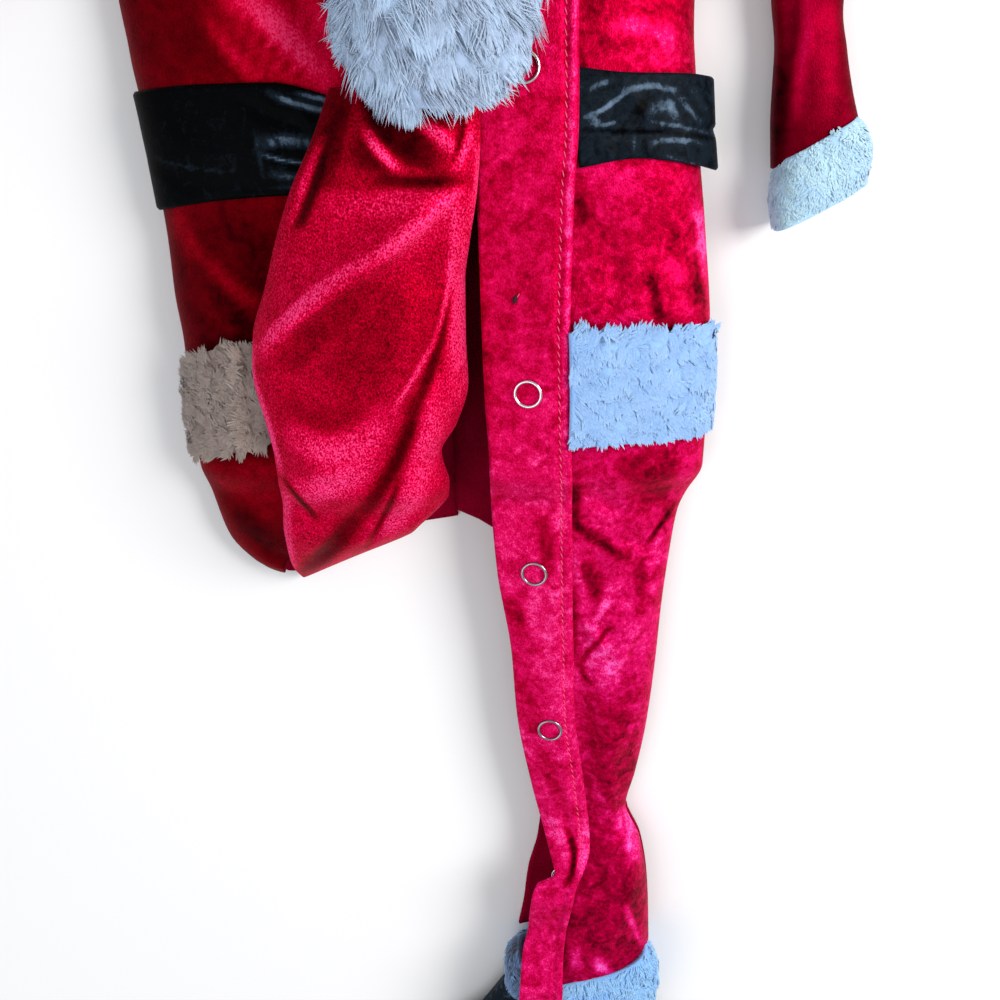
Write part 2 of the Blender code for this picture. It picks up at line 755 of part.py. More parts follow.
def build_neck_binding():
    """A rolled velvet edge round the neck opening, over the front edge and under the back one."""
    clear = BINDING_RADIUS + 0.7
    points = []
    for step in range(2 * BINDING_STEPS):
        turn = math.pi * step / BINDING_STEPS
        inwards = abs(math.sin(turn))
        x = NECK_X + (NECK_HALF - clear) * math.cos(turn)
        if turn < math.pi:
            y = SHOULDER_TOP - (NECK_DROP_FRONT - clear) * inwards
            z = BINDING_SIDE_Z + (front_height(x, y, left_section) - BINDING_SIDE_Z) * inwards
        else:
            y = SHOULDER_TOP - (NECK_DROP_BACK - clear) * inwards
            z = BINDING_SIDE_Z + (BINDING_RADIUS - BINDING_SIDE_Z) * min(1.0, 2 * inwards)
        points.append((x, y, z))
    curve = bpy.data.curves.new("neck_binding", "CURVE")
    curve.dimensions = "3D"
    curve.bevel_depth = BINDING_RADIUS * MM
    curve.bevel_resolution = 1
    line = curve.splines.new("POLY")
    line.points.add(len(points) - 1)
    for point, place in zip(line.points, points):
        point.co = (*(value * MM for value in place), 1)
    line.use_cyclic_u = True
    new_object("neck_binding", curve, velvet)


for old in list(bpy.data.objects):
    bpy.data.objects.remove(old)
garment = bpy.data.collections.new("santa_suit")
bpy.context.scene.collection.children.link(garment)
velvet = new_material("velvet", VELVET_RED, 0.45)
velvet_inside = new_material("velvet_inside", VELVET_INSIDE, 0.8)
fur = new_material("fur", FUR_WHITE, 0.9)
leather = new_material("leather", LEATHER_BLACK, 0.3)
steel = new_material("steel", STEEL, 0.25, 1.0)

build_backs()
build_fronts()
build_folded_leg()
build_placket()
build_belt_and_trim()
build_beard()
build_limbs()
build_neck_binding()
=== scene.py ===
"""Looks of a baby's footed Santa coverall, laid on its back with its right leg folded up.

Tables are in millimetres: x to the wearer's left, y towards the head, z up from the floor.
"""

import bmesh
import bpy
import numpy as np
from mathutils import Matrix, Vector


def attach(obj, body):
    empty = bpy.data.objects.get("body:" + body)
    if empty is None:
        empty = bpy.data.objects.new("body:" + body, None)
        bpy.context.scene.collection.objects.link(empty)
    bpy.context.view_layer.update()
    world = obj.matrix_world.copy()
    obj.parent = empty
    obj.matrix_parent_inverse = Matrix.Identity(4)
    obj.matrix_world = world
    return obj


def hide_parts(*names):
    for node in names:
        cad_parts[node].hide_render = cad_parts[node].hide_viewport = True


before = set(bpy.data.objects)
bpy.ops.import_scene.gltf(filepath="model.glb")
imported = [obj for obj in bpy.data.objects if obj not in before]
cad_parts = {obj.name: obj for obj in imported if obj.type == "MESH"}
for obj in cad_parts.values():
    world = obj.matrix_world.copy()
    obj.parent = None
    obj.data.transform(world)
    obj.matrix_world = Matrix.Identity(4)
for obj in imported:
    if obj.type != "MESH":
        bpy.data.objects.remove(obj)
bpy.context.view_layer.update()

# ---------------------------------------------------------------- backs
# The two backs of the coverall lie on the floor. They are cut in crushed velvet with its pile
# outwards, so what shows in the neck and the open front is the dull knitted wrong side. They
# meet at the centre back seam, and the trim and belt under them hold the waist up a little.

MM = 0.001
VELVET = 1.5
SEAM_GAP = 0.3
SEWN_CLEAR = 0.7
ROUNDNESS = 2.5
CURL_RISE = 2.4
CURL_REACH = 9.0
CHEST = 255.0
NECK_X = -27.0
NECK_HALF = 39.0
NECK_DROP_FRONT = 26.0
NECK_DROP_BACK = 8.0
SHOULDER_TOP = 318.0
SHOULDER_SLOPE = 0.3
ANKLE_SEAM = -214.0
# The wearer's left front, from neck to ankle: y, left side, right side, crown above the seam.
LEFT_SECTIONS = [
    (318, -114, 52, 3), (303, -120, 56, 8), (285, -125, 60, 14), (255, -128, 63, 20),
    (225, -128, 64, 23), (188, -126, 64.5, 25), (150, -121.5, 68, 26), (117, -119, 73, 24),
    (93, -118, 76, 23), (75, -116.5, 77.5, 22), (50, -116.5, 78.5, 21), (27, -116, 78.5, 20),
    (6, -80, 71, 19), (-10, -24, 69, 18), (-37, -6, 67, 17), (-64, 0, 66, 16), (-94, 4, 64, 15),
    (-120, 10, 60.5, 14), (-139, 15, 57, 13), (-159, 15, 64.5, 16), (-180, 11, 68.5, 20),
    (-208, 8, 71, 23), (-229, 7, 72, 24), (-262, 7, 72, 24),
]
# The wearer's right front, from neck to the fold at the hip, with the same columns.
RIGHT_SECTIONS = [row for row in LEFT_SECTIONS if row[0] >= 27] + [
    (6, -112, -8, 17), (-5, -109, -24, 13), (-16, -100.5, -50, 9), (-25, -87, -74, 4),
]
# How far fur trim and belt under the back hold it up: y, height.
BACK_LIFT = [(330, 0), (178, 0), (166, 1.7), (116, 1.7), (80, 5), (28, 5), (14, 0), (-270, 0)]
# The centre back seam, and then the inner edge of the left leg's back: y, x.
BACK_SEAM = [
    (318, -27), (188, -27), (60, -19), (2, -17), (-3, -4), (-12, 0.5), (-50, 5), (-84, 9),
    (-118, 15), (-140, 19.5), (-161, 18), (-179, 14), (-197, 12), (-214, 9.5),
]
# The fold of the right leg, where its back turns up over the front: x, y.
FOLD_LINE = [(-112, 10), (-100, -16), (-86, -24.5), (-68, -18), (-44, -6), (-17, 0.5)]
# Soft creases in the left back, in the form of the folds below.
BACK_CREASES = [
    (-40, 140, -30, 70, -22, 10, 5, 7, 0.8), (20, 60, 30, -20, 34, -110, 6, 6, 0.7),
    (8, -186, 14, -200, 12, -212, 3, 4, 1.0),
]


def smooth(rows):
    """Gives a function that reads a table smoothly between its rows, by its first column."""
    table = np.array(sorted(rows), float)
    keys, values = table[:, 0], table[:, 1:]
    rates = np.diff(values, axis=0) / np.diff(keys)[:, None]
    same_way = rates[:-1] * rates[1:] > 0
    total = np.where(same_way, rates[:-1] + rates[1:], 1.0)
    slopes = np.where(same_way, 2 * rates[:-1] * rates[1:] / total, 0.0)
    slopes = np.vstack([rates[:1], slopes, rates[-1:]])

    def read(key):
        key = np.asarray(key, float)
        row = np.clip(np.searchsorted(keys, key) - 1, 0, len(keys) - 2)
        span = (keys[row + 1] - keys[row])[..., None]
        t = np.clip((key - keys[row])[..., None] / span, 0.0, 1.0)
        found = (1 + 2 * t) * (1 - t) ** 2 * values[row] + t * t * (3 - 2 * t) * values[row + 1]
        found += t * (1 - t) ** 2 * span * slopes[row] + t * t * (t - 1) * span * slopes[row + 1]
        return np.moveaxis(found, -1, 0)

    return read


def nearness(x, y, line, sharpness):
    """From 0 to 1, how near a place is to a line through three points, start, middle and end,
    which has one half width on its left hand and one on its right. It fades out at its ends."""
    steps = 14
    x0, y0, xm, ym, x2, y2, left_width, right_width = line
    x1, y1 = 2 * xm - (x0 + x2) / 2, 2 * ym - (y0 + y2) / 2
    found = np.zeros(x.shape)
    reach = 2.5 * max(left_width, right_width)
    near = (x > min(x0, xm, x2) - reach) & (x < max(x0, xm, x2) + reach)
    near &= (y > min(y0, ym, y2) - reach) & (y < max(y0, ym, y2) + reach)
    if not near.any():
        return found
    px, py = x[near], y[near]
    best = np.full(px.shape, 1e9)
    off, along = np.zeros(px.shape), np.zeros(px.shape)
    t = np.linspace(0, 1, steps + 1)
    cx = (1 - t) ** 2 * x0 + 2 * t * (1 - t) * x1 + t * t * x2
    cy = (1 - t) ** 2 * y0 + 2 * t * (1 - t) * y1 + t * t * y2
    for i in range(steps):
        dx, dy = cx[i + 1] - cx[i], cy[i + 1] - cy[i]
        s = np.clip(((px - cx[i]) * dx + (py - cy[i]) * dy) / (dx * dx + dy * dy), 0, 1)
        away = np.hypot(px - cx[i] - s * dx, py - cy[i] - s * dy)
        side = np.sign((py - cy[i]) * dx - (px - cx[i]) * dy)
        closer = away < best
        best = np.where(closer, away, best)
        off = np.where(closer, away * side, off)
        along = np.where(closer, (i + s) / steps, along)
    width = np.where(off > 0, left_width, right_width)
    fade = np.sin(np.pi * np.clip(along, 0.02, 0.98)) ** (1.2 / sharpness)
    found[near] = np.exp(-(np.abs(off / width) ** sharpness)) * fade
    return found


def relief(x, y, folds):
    """Height that folds add at a place: each is a line, and how far it rises or sinks."""
    x, y = np.broadcast_arrays(x, y)
    return sum((nearness(x, y, line, 2.0) * rise for *line, rise in folds), np.zeros(x.shape))


def painted(lie_and_shade, strokes):
    """How the nap lies at a place, with painted light and shade, 0 dark to 1 bright: each stroke
    is a line and its value.
    """

    def nap_and_shade(x, y):
        value = np.full(x.shape, float(lie_and_shade))
        for *line, tone in strokes:
            value += (tone - value) * nearness(x, y, line, 3.0)
        return value

    return nap_and_shade


def top_line(x, drop):
    """The y of a panel's top: the neck curve, and the shoulder seam on each side of it."""
    out = np.abs(x - NECK_X) / NECK_HALF
    neck = SHOULDER_TOP - drop * np.sqrt(np.clip(1 - out * out, 0, 1))
    return np.where(out < 1, neck, SHOULDER_TOP - SHOULDER_SLOPE * (out - 1) * NECK_HALF)


def below_top(x, y, drop):
    """Moves rows above the chest down, so that the last row ends on the top line."""
    share = (top_line(x, drop) - CHEST) / (SHOULDER_TOP - CHEST)
    return np.where(y <= CHEST, y, CHEST + (y - CHEST) * share)


left_section = smooth(LEFT_SECTIONS)
right_section = smooth(RIGHT_SECTIONS)
back_lift = smooth(BACK_LIFT)
back_seam = smooth(BACK_SEAM)


def seam_height(y):
    """Height of the side seams, where the fronts meet the curled edges of the backs."""
    return back_lift(y)[0] + CURL_RISE + VELVET + SEAM_GAP + SEWN_CLEAR


def add_piece(name, mesh, *materials):
    """Makes the mesh a piece of the suit that rides on its one body."""
    for material in materials:
        mesh.materials.append(material)
    obj = bpy.data.objects.new(name, mesh)
    bpy.context.scene.collection.objects.link(obj)
    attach(obj, "root")
    return obj


def to_mesh(name, shape, *materials):
    """Makes the bmesh a smooth piece of the suit."""
    mesh = bpy.data.meshes.new(name)
    shape.to_mesh(mesh)
    shape.free()
    mesh.shade_smooth()
    return add_piece(name, mesh, *materials)


def lay_grid(shape, across, along, place, nap_and_shade=None):
    """Adds a grid to the bmesh, its points at place(a, b), and stores there how the nap lies and
    the painted light and shade.
    """
    layer = shape.verts.layers.float.get("nap_and_shade") or shape.verts.layers.float.new("nap_and_shade")
    made = bmesh.ops.create_grid(shape, x_segments=across, y_segments=along, size=0.5)["verts"]
    a = np.array([vert.co.x for vert in made]) + 0.5
    b = np.array([vert.co.y for vert in made]) + 0.5
    x, y, z = np.broadcast_arrays(*place(a, b))
    lie_and_shade = nap_and_shade(x, y) if nap_and_shade else np.full(x.shape, 0.5)
    for vert, point, value in zip(made, np.column_stack((x, y, z)) * MM, lie_and_shade):
        vert.co = point
        vert[layer] = value
    return made


def cloth(name, across, along, place, wall, outside, inside=None, nap_and_shade=None, closed=False):
    """A wall of cloth: a grid thickened inwards, with its wrong side in another material."""
    shape = bmesh.new()
    lay_grid(shape, across, along, place, nap_and_shade)
    if closed:
        bmesh.ops.remove_doubles(shape, verts=shape.verts, dist=0.01 * MM)
        bmesh.ops.recalc_face_normals(shape, faces=shape.faces)
    obj = to_mesh(name, shape, outside, inside or outside)
    if wall:
        thick = obj.modifiers.new("wall", "SOLIDIFY")
        thick.thickness = wall * MM
        thick.offset = -1
        thick.material_offset = 1
        thick.material_offset_rim = 0
    return obj


def slab(name, across, along, upper, lower, material, nap_and_shade=None):
    """A closed piece between two grids, such as a fur band with its cloth backing."""
    shape = bmesh.new()
    lay_grid(shape, across, along, upper, nap_and_shade)
    under = lay_grid(shape, across, along, lower, nap_and_shade)
    faces = list({face for vert in under for face in vert.link_faces})
    bmesh.ops.reverse_faces(shape, faces=faces)
    bmesh.ops.bridge_loops(shape, edges=[edge for edge in shape.edges if edge.is_boundary])
    bmesh.ops.recalc_face_normals(shape, faces=shape.faces)
    return to_mesh(name, shape, material)


def new_material(name, roughness, metallic=0.0):
    """A Principled material, with its node tree, its shader and Object coordinates."""
    material = bpy.data.materials.new(name)
    material.use_nodes = True
    tree = material.node_tree
    shader = tree.nodes["Principled BSDF"]
    shader.inputs["Roughness"].default_value = roughness
    shader.inputs["Metallic"].default_value = metallic
    return material, tree, shader, tree.nodes.new("ShaderNodeTexCoord").outputs["Object"]


def noise(tree, coordinates, size, detail=2.0, distortion=0.0, stretch=None):
    """A noise pattern with features about size millimetres across, from 0 to 1. It can be
    stretched: a scale along x, y and z, and a turn about z."""
    if stretch:
        mapping = tree.nodes.new("ShaderNodeMapping")
        tree.links.new(coordinates, mapping.inputs["Vector"])
        mapping.inputs["Scale"].default_value = stretch[:3]
        mapping.inputs["Rotation"].default_value = (0, 0, stretch[3])
        coordinates = mapping.outputs["Vector"]
    texture = tree.nodes.new("ShaderNodeTexNoise")
    tree.links.new(coordinates, texture.inputs["Vector"])
    texture.inputs["Scale"].default_value = 1 / (size * MM)
    texture.inputs["Detail"].default_value = detail
    texture.inputs["Distortion"].default_value = distortion
    return texture.outputs["Fac"]


def reckon(tree, operation, *terms):
    """A sum of one step: each term is a number, or what another node gives."""
    node = tree.nodes.new("ShaderNodeMath")
    node.operation = operation
    for socket, term in zip(node.inputs, terms):
        if isinstance(term, float):
            socket.default_value = term
        else:
            tree.links.new(term, socket)
    return node.outputs[0]


def add_up(tree, start, *terms):
    """start plus each (pattern, weight), with patterns counted from their middle."""
    for pattern, weight in terms:
        half = weight / 2
        low = start - half if isinstance(start, float) else reckon(tree, "SUBTRACT", start, half)
        start = reckon(tree, "MULTIPLY_ADD", pattern, weight, low)
    return start


def colour_by(tree, shader, value, stops):
    """Gives the base colour from a value, through stops of (value, red, green, blue)."""
    ramp = tree.nodes.new("ShaderNodeValToRGB")
    elements = ramp.color_ramp.elements
    while len(elements) < len(stops):
        elements.new(0.5)
    for element, (at, red, green, blue) in zip(elements, stops):
        element.position = at
        element.color = (red, green, blue, 1)
    tree.links.new(value, ramp.inputs["Fac"])
    tree.links.new(ramp.outputs["Color"], shader.inputs["Base Color"])


def add_bump(tree, shader, height, depth):
    """Raises the surface by height times depth millimetres."""
    bump = tree.nodes.new("ShaderNodeBump")
    bump.inputs["Distance"].default_value = depth * MM
    bump.inputs["Strength"].default_value = 1.0
    tree.links.new(height, bump.inputs["Height"])
    tree.links.new(bump.outputs["Normal"], shader.inputs["Normal"])


def attribute(tree, name):
    """A value that the piece stores at its points."""
    node = tree.nodes.new("ShaderNodeAttribute")
    node.attribute_name = name
    return node.outputs["Fac"]


def clouded(name, roughness, size, weight, dark, light, metallic=0.0, stops=(0.2, 0.8)):
    """A plain material that clouds between two colours, in patches of about that size."""
    material, tree, shader, place = new_material(name, roughness, metallic)
    value = add_up(tree, 0.5, (noise(tree, place, size), weight))
    colour_by(tree, shader, value, [(stops[0], *dark), (stops[1], *light)])
    return material


velvet_inside, tree, shader, place = new_material("velvet_wrong_side", 0.85)
shader.inputs["Specular IOR Level"].default_value = 0.0
knit = noise(tree, place, 0.55, detail=1.0, stretch=(1.0, 0.45, 1.0, 0.0))
cloudy = noise(tree, place, 14)
colour_by(
    tree, shader, add_up(tree, 0.5, (cloudy, 0.5), (knit, 0.4)),
    [(0.2, 0.1, 0.0, 0.006), (0.8, 0.36, 0.002, 0.03)],
)
add_bump(tree, shader, knit, 0.25)


def back_points(edges, first, last, bottom=None):
    """Places a back on the floor, its side edges curling up to the fronts."""

    def place(a, b):
        left, right = edges(first + (last - first) * b)
        x = left + (right - left) * a
        start = bottom(x)[0] if bottom else first
        y = start + (last - start) * b
        left, right = edges(y)
        x = left + (right - left) * a
        side_left, side_right, _ = left_section(y)
        from_side = np.minimum(np.abs(x - side_left), np.abs(side_right - x))
        curl = np.clip(1 - from_side / CURL_REACH, 0, 1)
        rise = np.abs(relief(x, y, BACK_CREASES)) * (1 - curl)
        z = back_lift(y)[0] + VELVET + CURL_RISE * curl**2 + rise
        return x, below_top(x, y, NECK_DROP_BACK), z

    return place


back_left = cloth(
    "back_left_cloth", 34, 130,
    back_points(lambda y: (back_seam(y)[0], left_section(y)[1]), ANKLE_SEAM, SHOULDER_TOP),
    VELVET, velvet_inside,
)
back_right = cloth(
    "back_right_cloth", 34, 90,
    back_points(
        lambda y: (right_section(y)[0], back_seam(np.maximum(y, 2))[0]), -24.5, SHOULDER_TOP,
        smooth(FOLD_LINE),
    ),
    VELVET, velvet_inside,
)
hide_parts("back_left")
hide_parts("back_right")

# ---------------------------------------------------------------- fronts
# Left and right front with their legs, in red crushed velvet: a panne whose short pile is pressed
# in many directions, so it goes from deep wine to bright pink, and painted light and shade widen
# that range. Each is cut from neck to ankle and seamed at the hip under the fur trim. The right
# front is tucked into the fold of its leg.

NECK_TO_STRIP = 8
# The placket band: y, left edge, right edge, droop of its left edge, lift over what it crosses.
PLACKET = [
    (318, -24, 8, 0, 0), (285, -18, 14, 0, 0), (250, -11, 21, 0, 0), (215, -8, 24, 0, 0),
    (187, -7.5, 24.6, 0, 0), (147, -7.4, 25.4, 0, 0), (129, -7.5, 24.6, 0, 0),
    (112, -7.2, 24.5, 1.5, 0), (91, -6.7, 24.3, 5, 0), (56, -5.5, 25.4, 6, 0),
    (35, -4.1, 26.3, 6, 0), (15, -3.5, 27.3, 6, 0), (-15, -1.2, 28.3, 5, 0), (-51, 4.5, 30, 4, 0),
    (-84, 7.2, 31.6, 4, 0), (-118, 13.4, 36.4, 3, 0), (-154, 22, 40.2, 2, 0.5),
    (-163, 24.5, 36.5, 0, 3.4), (-166.5, 17, 34.5, 0, 3.6), (-174, 14.2, 33, 0, 3.4),
    (-184, 13.4, 31.5, 1, 1.4), (-194, 12.9, 30, 2, 0), (-206, 10.5, 29, 2, 1),
    (-222, 9, 28.5, 0, 7.4), (-236, 8.1, 28.2, 0, 7.6), (-256, 8, 28, 0, 7.6),
]
# The wearer's right front ends under the folded leg: y, inner edge.
RIGHT_FRONT_EDGE = [
    (318, -9), (285, -3), (250, 5), (215, 14), (150, 16), (132, 14), (122, -14), (112, -28),
    (92, -33), (40, -36), (27, -37), (6, -42), (-5, -52), (-16, -69), (-25, -78),
]
# The lower end of the right front, tucked into the fold: x, y.
RIGHT_FRONT_END = [(-113, 8), (-100, -14), (-88, -21), (-84, -14), (-79, 2)]
ANKLE_BOW = 12.0
ANKLE_SKEW = 10.0
# The widest dips of the left front, under its fine creases.
LEG_DIPS = [
    (29, -20, 36, -99, 43, -178, 6, 6, -4.5), (76, 30, 60, -5, 44, -40, 9, 9, -2.5),
    (60, -100, 57, -121, 54, -142, 8, 8, -2.5),
]
placket_row = smooth(PLACKET)
right_front_edge = smooth(RIGHT_FRONT_EDGE)


def front_height(x, y, section, folds=()):
    """Height of a front's outer face, a rounded section from side seam to side seam."""
    left, right, crown = section(y)
    out = np.minimum(np.abs(2 * x - left - right) / (right - left), 1.0)
    dome = crown * (1 - out**ROUNDNESS) ** (1 / ROUNDNESS)
    return seam_height(y) + dome + relief(x, y, folds) * (1 - out**4)


# Fine creases of the left front, from chest to ankle.
LEFT_CREASES = [
    (60, 210, 48, 180, 46, 166, 5, 5, -0.8), (33, 120, 40, 100, 38, 84, 4, 5, -0.7),
    (52, 100, 54, 88, 54, 80, 1.6, 2.5, -1.4), (66, 118, 64, 100, 69, 84, 4, 6, 0.8),
    (31, 28, 41, 14, 60, 8, 3, 3, -1.3), (35, -4, 39, -14, 36, -30, 3, 4, -1.4),
    (44, 30, 50, 12, 66, 2, 3, 5, 1.2), (45, -2, 60, -8, 66, -24, 4, 3, -1.2),
    (30, -26, 38, -44, 52, -56, 3, 3, 1.5), (38, -36, 44, -50, 40, -66, 2.5, 3, -0.8),
    (58, -30, 50, -52, 40, -74, 5, 3, 1.3), (58, -42, 52, -60, 34, -76, 3, 3, -0.8),
    (40, -80, 50, -94, 44, -112, 4, 6, 1.2), (62, -96, 60, -118, 57, -136, 3, 3, -0.8),
    (48, -118, 50, -135, 52, -152, 3, 4, 0.8), (58, -150, 46, -158, 38, -172, 3, 3, 1.0),
    (60, -160, 58, -182, 46, -206, 4, 5, 1.4), (50, -160, 48, -180, 38, -200, 4, 4, -1.4),
    (66, -182, 64, -198, 58, -212, 3, 3, -0.9),
]
# Creases of the right front.
RIGHT_CREASES = [
    (-106, 109, -95, 97, -84, 84, 5, 5, 1.0), (-100, 118, -88, 100, -80, 86, 4, 4, -1.0),
    (-100, 215, -82, 190, -64, 165, 9, 8, 1.6), (-86, 228, -70, 200, -52, 166, 5, 5, -1.4),
    (-112, 228, -104, 200, -88, 166, 6, 6, -0.9), (-92, 16, -80, 10, -66, 6, 4, 5, 1.4),
    (-98, -4, -88, -12, -78, -14, 4, 4, -1.2),
]
# Painted light and shade, with the lie of the nap: lines in the form of the folds, bright where
# they face the light and dark in their shade, and the value along each.
LEFT_NAP_AND_SHADING = [
    (46, 300, 48, 225, 50, 150, 40, 40, 0.35), (48, 150, 48, 105, 48, 60, 30, 30, 0.45),
    (46, 50, 46, -20, 46, -110, 26, 26, 0.58), (46, -145, 48, -186, 48, -232, 24, 24, 0.32),
    (44, -80, 46, -108, 50, -140, 16, 10, 0.38), (29, 190, 29, 178, 29, 166, 3, 3, 0.35),
    (35, 182, 48, 178, 62, 174, 3, 3, 0.62), (38, 169, 50, 171, 63, 170, 3, 3, 0.62),
    (50, 177, 47, 172, 43, 167, 2, 2, 0.42), (41, 187, 46, 184, 51, 181, 2, 2, 0.42),
    (30, 136, 40, 131, 50, 134, 5, 4, 0.62), (26, 130, 28, 124, 31, 119, 3, 3, 0.25),
    (59, 119, 60, 114, 62, 109, 3, 3, 0.28), (42, 109, 43, 103, 45, 97, 3, 3, 0.3),
    (51, 105, 54, 96, 56, 86, 1.6, 2.2, 0.12), (56, 88, 59, 85, 64, 79, 3, 3, 0.22),
    (67, 105, 70, 96, 71, 88, 2.5, 2.5, 0.2), (68, 124, 71, 113, 73, 100, 2.5, 2.5, 0.85),
    (28, 26, 28, 14, 28, 4, 3, 3, 0.12), (27, 8, 39, -2, 52, -12, 2.2, 2.2, 0.18),
    (32, 23, 38, 13, 46, 5, 3.5, 3.5, 0.66), (44, 38, 55, 24, 64, 10, 6, 6, 0.3),
    (61, 38, 60, 26, 53, 12, 6, 6, 0.33), (57, -2, 62, -9, 67, -16, 4, 4, 0.66),
    (58, -6, 63, 2, 69, 10, 1.2, 1.2, 0.1), (33, -10, 37, -20, 41, -31, 3.5, 3.5, 0.22),
    (25, 8, 30, -12, 35, -31, 1.3, 1.3, 0.72), (43, -22, 41, -33, 34, -42, 2.2, 2.2, 0.8),
    (54, -10, 57, -27, 57, -42, 3, 3, 0.4), (41, -44, 42, -57, 41, -70, 8, 8, 0.76),
    (48, -38, 39, -48, 33, -61, 1.3, 1.3, 0.3), (33, -58, 35, -65, 42, -72, 1.3, 1.3, 0.3),
    (28, -24, 29, -41, 31, -59, 2.2, 2.2, 0.28), (36, -79, 47, -90, 53, -110, 7, 6, 0.36),
    (57, -66, 57, -85, 54, -104, 2, 2, 0.52), (58, -38, 59, -46, 59, -54, 4, 4, 0.66),
    (43, -96, 52, -111, 60, -139, 7, 7, 0.36), (38, -114, 44, -127, 49, -140, 1.4, 1.4, 0.56),
    (52, -137, 59, -151, 62, -166, 4, 4, 0.78), (56, -166, 60, -178, 63, -193, 5, 5, 0.28),
    (57, -182, 61, -195, 66, -208, 1.4, 1.4, 0.72), (39, -174, 45, -180, 51, -186, 5, 5, 0.42),
    (34, -204, 35, -211, 36, -218, 3, 3, 0.72), (44, -209, 47, -216, 51, -221, 3, 3, 0.76),
    (31, -164, 29, -188, 28, -214, 1.8, 1.8, 0.12),
]
RIGHT_NAP_AND_SHADING = [
    (-100, 128, -96, 96, -92, 60, 24, 20, 0.02), (-116, 200, -113, 178, -111, 162, 14, 10, 0.14),
    (-101, 200, -97, 178, -94, 162, 7, 6, 0.16), (-84, 196, -70, 176, -50, 158, 8, 8, 0.9),
    (-84, 184, -72, 172, -58, 160, 2, 2, 0.3), (-93, 181, -83, 169, -74, 162, 2.2, 2.2, 0.6),
    (-64, 190, -53, 177, -45, 167, 4, 4, 0.72), (-113, 124, -109, 114, -105, 102, 5, 5, 0.26),
    (-102, 120, -95, 109, -87, 97, 4, 5, 0.1), (-107, 111, -94, 98, -79, 87, 3, 3, 0.3),
    (-110, 97, -102, 89, -96, 82, 4, 4, 0.12), (-107, 31, -96, 34, -80, 35, 2.5, 2.5, 0.1),
    (-106, 26, -95, 20, -80, 27, 6, 6, 0.3), (-104, 11, -96, 1, -88, -12, 6, 6, 0.03),
]

# Colour of the pile from where it lies away from the light to where it lies towards it: painted
# shade at its low stops and painted highlight at its high ones.
VELVET_STOPS = [
    (0.0, 0.016, 0.0, 0.001), (0.22, 0.15, 0.0, 0.005), (0.45, 0.42, 0.0, 0.018),
    (0.7, 0.76, 0.003, 0.08), (1.0, 1.0, 0.07, 0.3),
]
# How rosy it is at the head and at the foot is blended between these places, in metres. The
# rosier foot is a painted tint of cooler light there.
ROSY_HEAD, ROSY_FOOT = 0.2, -0.2


def velvet_material(name, crush, crush_size, sparkle, rosy_head, rosy_foot):
    """Crushed velvet: how far, and in what size, its pile is pressed to and fro, how much painted
    glints sparkle on the tips of the pile where it lies towards the light, and how rosy it is at
    head and foot, a painted tint of the light."""
    material, tree, shader, place = new_material(name, 0.42, 0.25)
    shader.inputs["Specular IOR Level"].default_value = 0.0
    pressed = noise(tree, place, crush_size, detail=4.0, distortion=0.8)
    flecks = noise(tree, place, crush_size / 3, detail=3.0)
    glints = noise(tree, place, 0.55, detail=1.5, stretch=(1.0, 0.7, 1.0, 0.1))
    # Painted highlight: glints painted into the colour where the nap value is bright.
    glint = reckon(tree, "MULTIPLY_ADD", glints, 2 * sparkle, 1 - sparkle)
    lit = reckon(tree, "MULTIPLY", attribute(tree, "nap_and_shade"), glint)
    lie_and_shade = add_up(tree, lit, (pressed, crush), (flecks, crush * 0.6))
    colour_by(tree, shader, lie_and_shade, VELVET_STOPS)
    # Painted light: the colour is tinted from head to foot.
    apart = tree.nodes.new("ShaderNodeSeparateXYZ")
    tree.links.new(place, apart.inputs["Vector"])
    rosy = tree.nodes.new("ShaderNodeMapRange")
    tree.links.new(apart.outputs["Y"], rosy.inputs["Value"])
    rosy.inputs["From Min"].default_value = ROSY_HEAD
    rosy.inputs["From Max"].default_value = ROSY_FOOT
    rosy.inputs["To Min"].default_value = rosy_head
    rosy.inputs["To Max"].default_value = rosy_foot
    tint = tree.nodes.new("ShaderNodeCombineXYZ")
    tint.inputs["X"].default_value = 1.0
    tinted = tree.nodes.new("ShaderNodeVectorMath")
    tinted.operation = "MULTIPLY"
    for label in ("Y", "Z"):
        tree.links.new(rosy.outputs["Result"], tint.inputs[label])
    tree.links.new(shader.inputs["Base Color"].links[0].from_socket, tinted.inputs[0])
    tree.links.new(tint.outputs["Vector"], tinted.inputs[1])
    tree.links.new(tinted.outputs["Vector"], shader.inputs["Base Color"])
    add_bump(tree, shader, add_up(tree, 0.5, (pressed, 0.4), (glints, 0.5)), 0.4)
    shader.inputs["Sheen Weight"].default_value = 0.15
    shader.inputs["Sheen Roughness"].default_value = 0.4
    shader.inputs["Sheen Tint"].default_value = (1.0, 0.1, 0.2, 1)
    return material


# Name, how crushed, size of the crush, sparkle, how rosy at the head and at the foot.
velvet = velvet_material("crushed_velvet", 0.75, 5.5, 0.4, 1.2, 2.2)
velvet_soft = velvet_material("crushed_velvet_smooth", 0.25, 5, 1.2, 0.75, 1.1)
velvet_band = velvet_material("crushed_velvet_band", 0.7, 6.5, 0.5, 1.2, 1.7)
velvet_shaded = velvet_material("crushed_velvet_shaded", 0.22, 9, 0.6, 0.6, 0.6)
velvet_sleeve = velvet_material("crushed_velvet_sleeve", 0.22, 9, 0.35, 1.5, 1.5)


def ankle_line(x):
    """The lower edge of the left front, which dips over the round of the ankle."""
    left, right, _ = left_section(ANKLE_SEAM)
    out = np.clip((2 * x - left - right) / (right - left), -1.0, 1.0)
    return ANKLE_SEAM - (ANKLE_BOW - ANKLE_SKEW * out) * np.sqrt(1 - out * out)


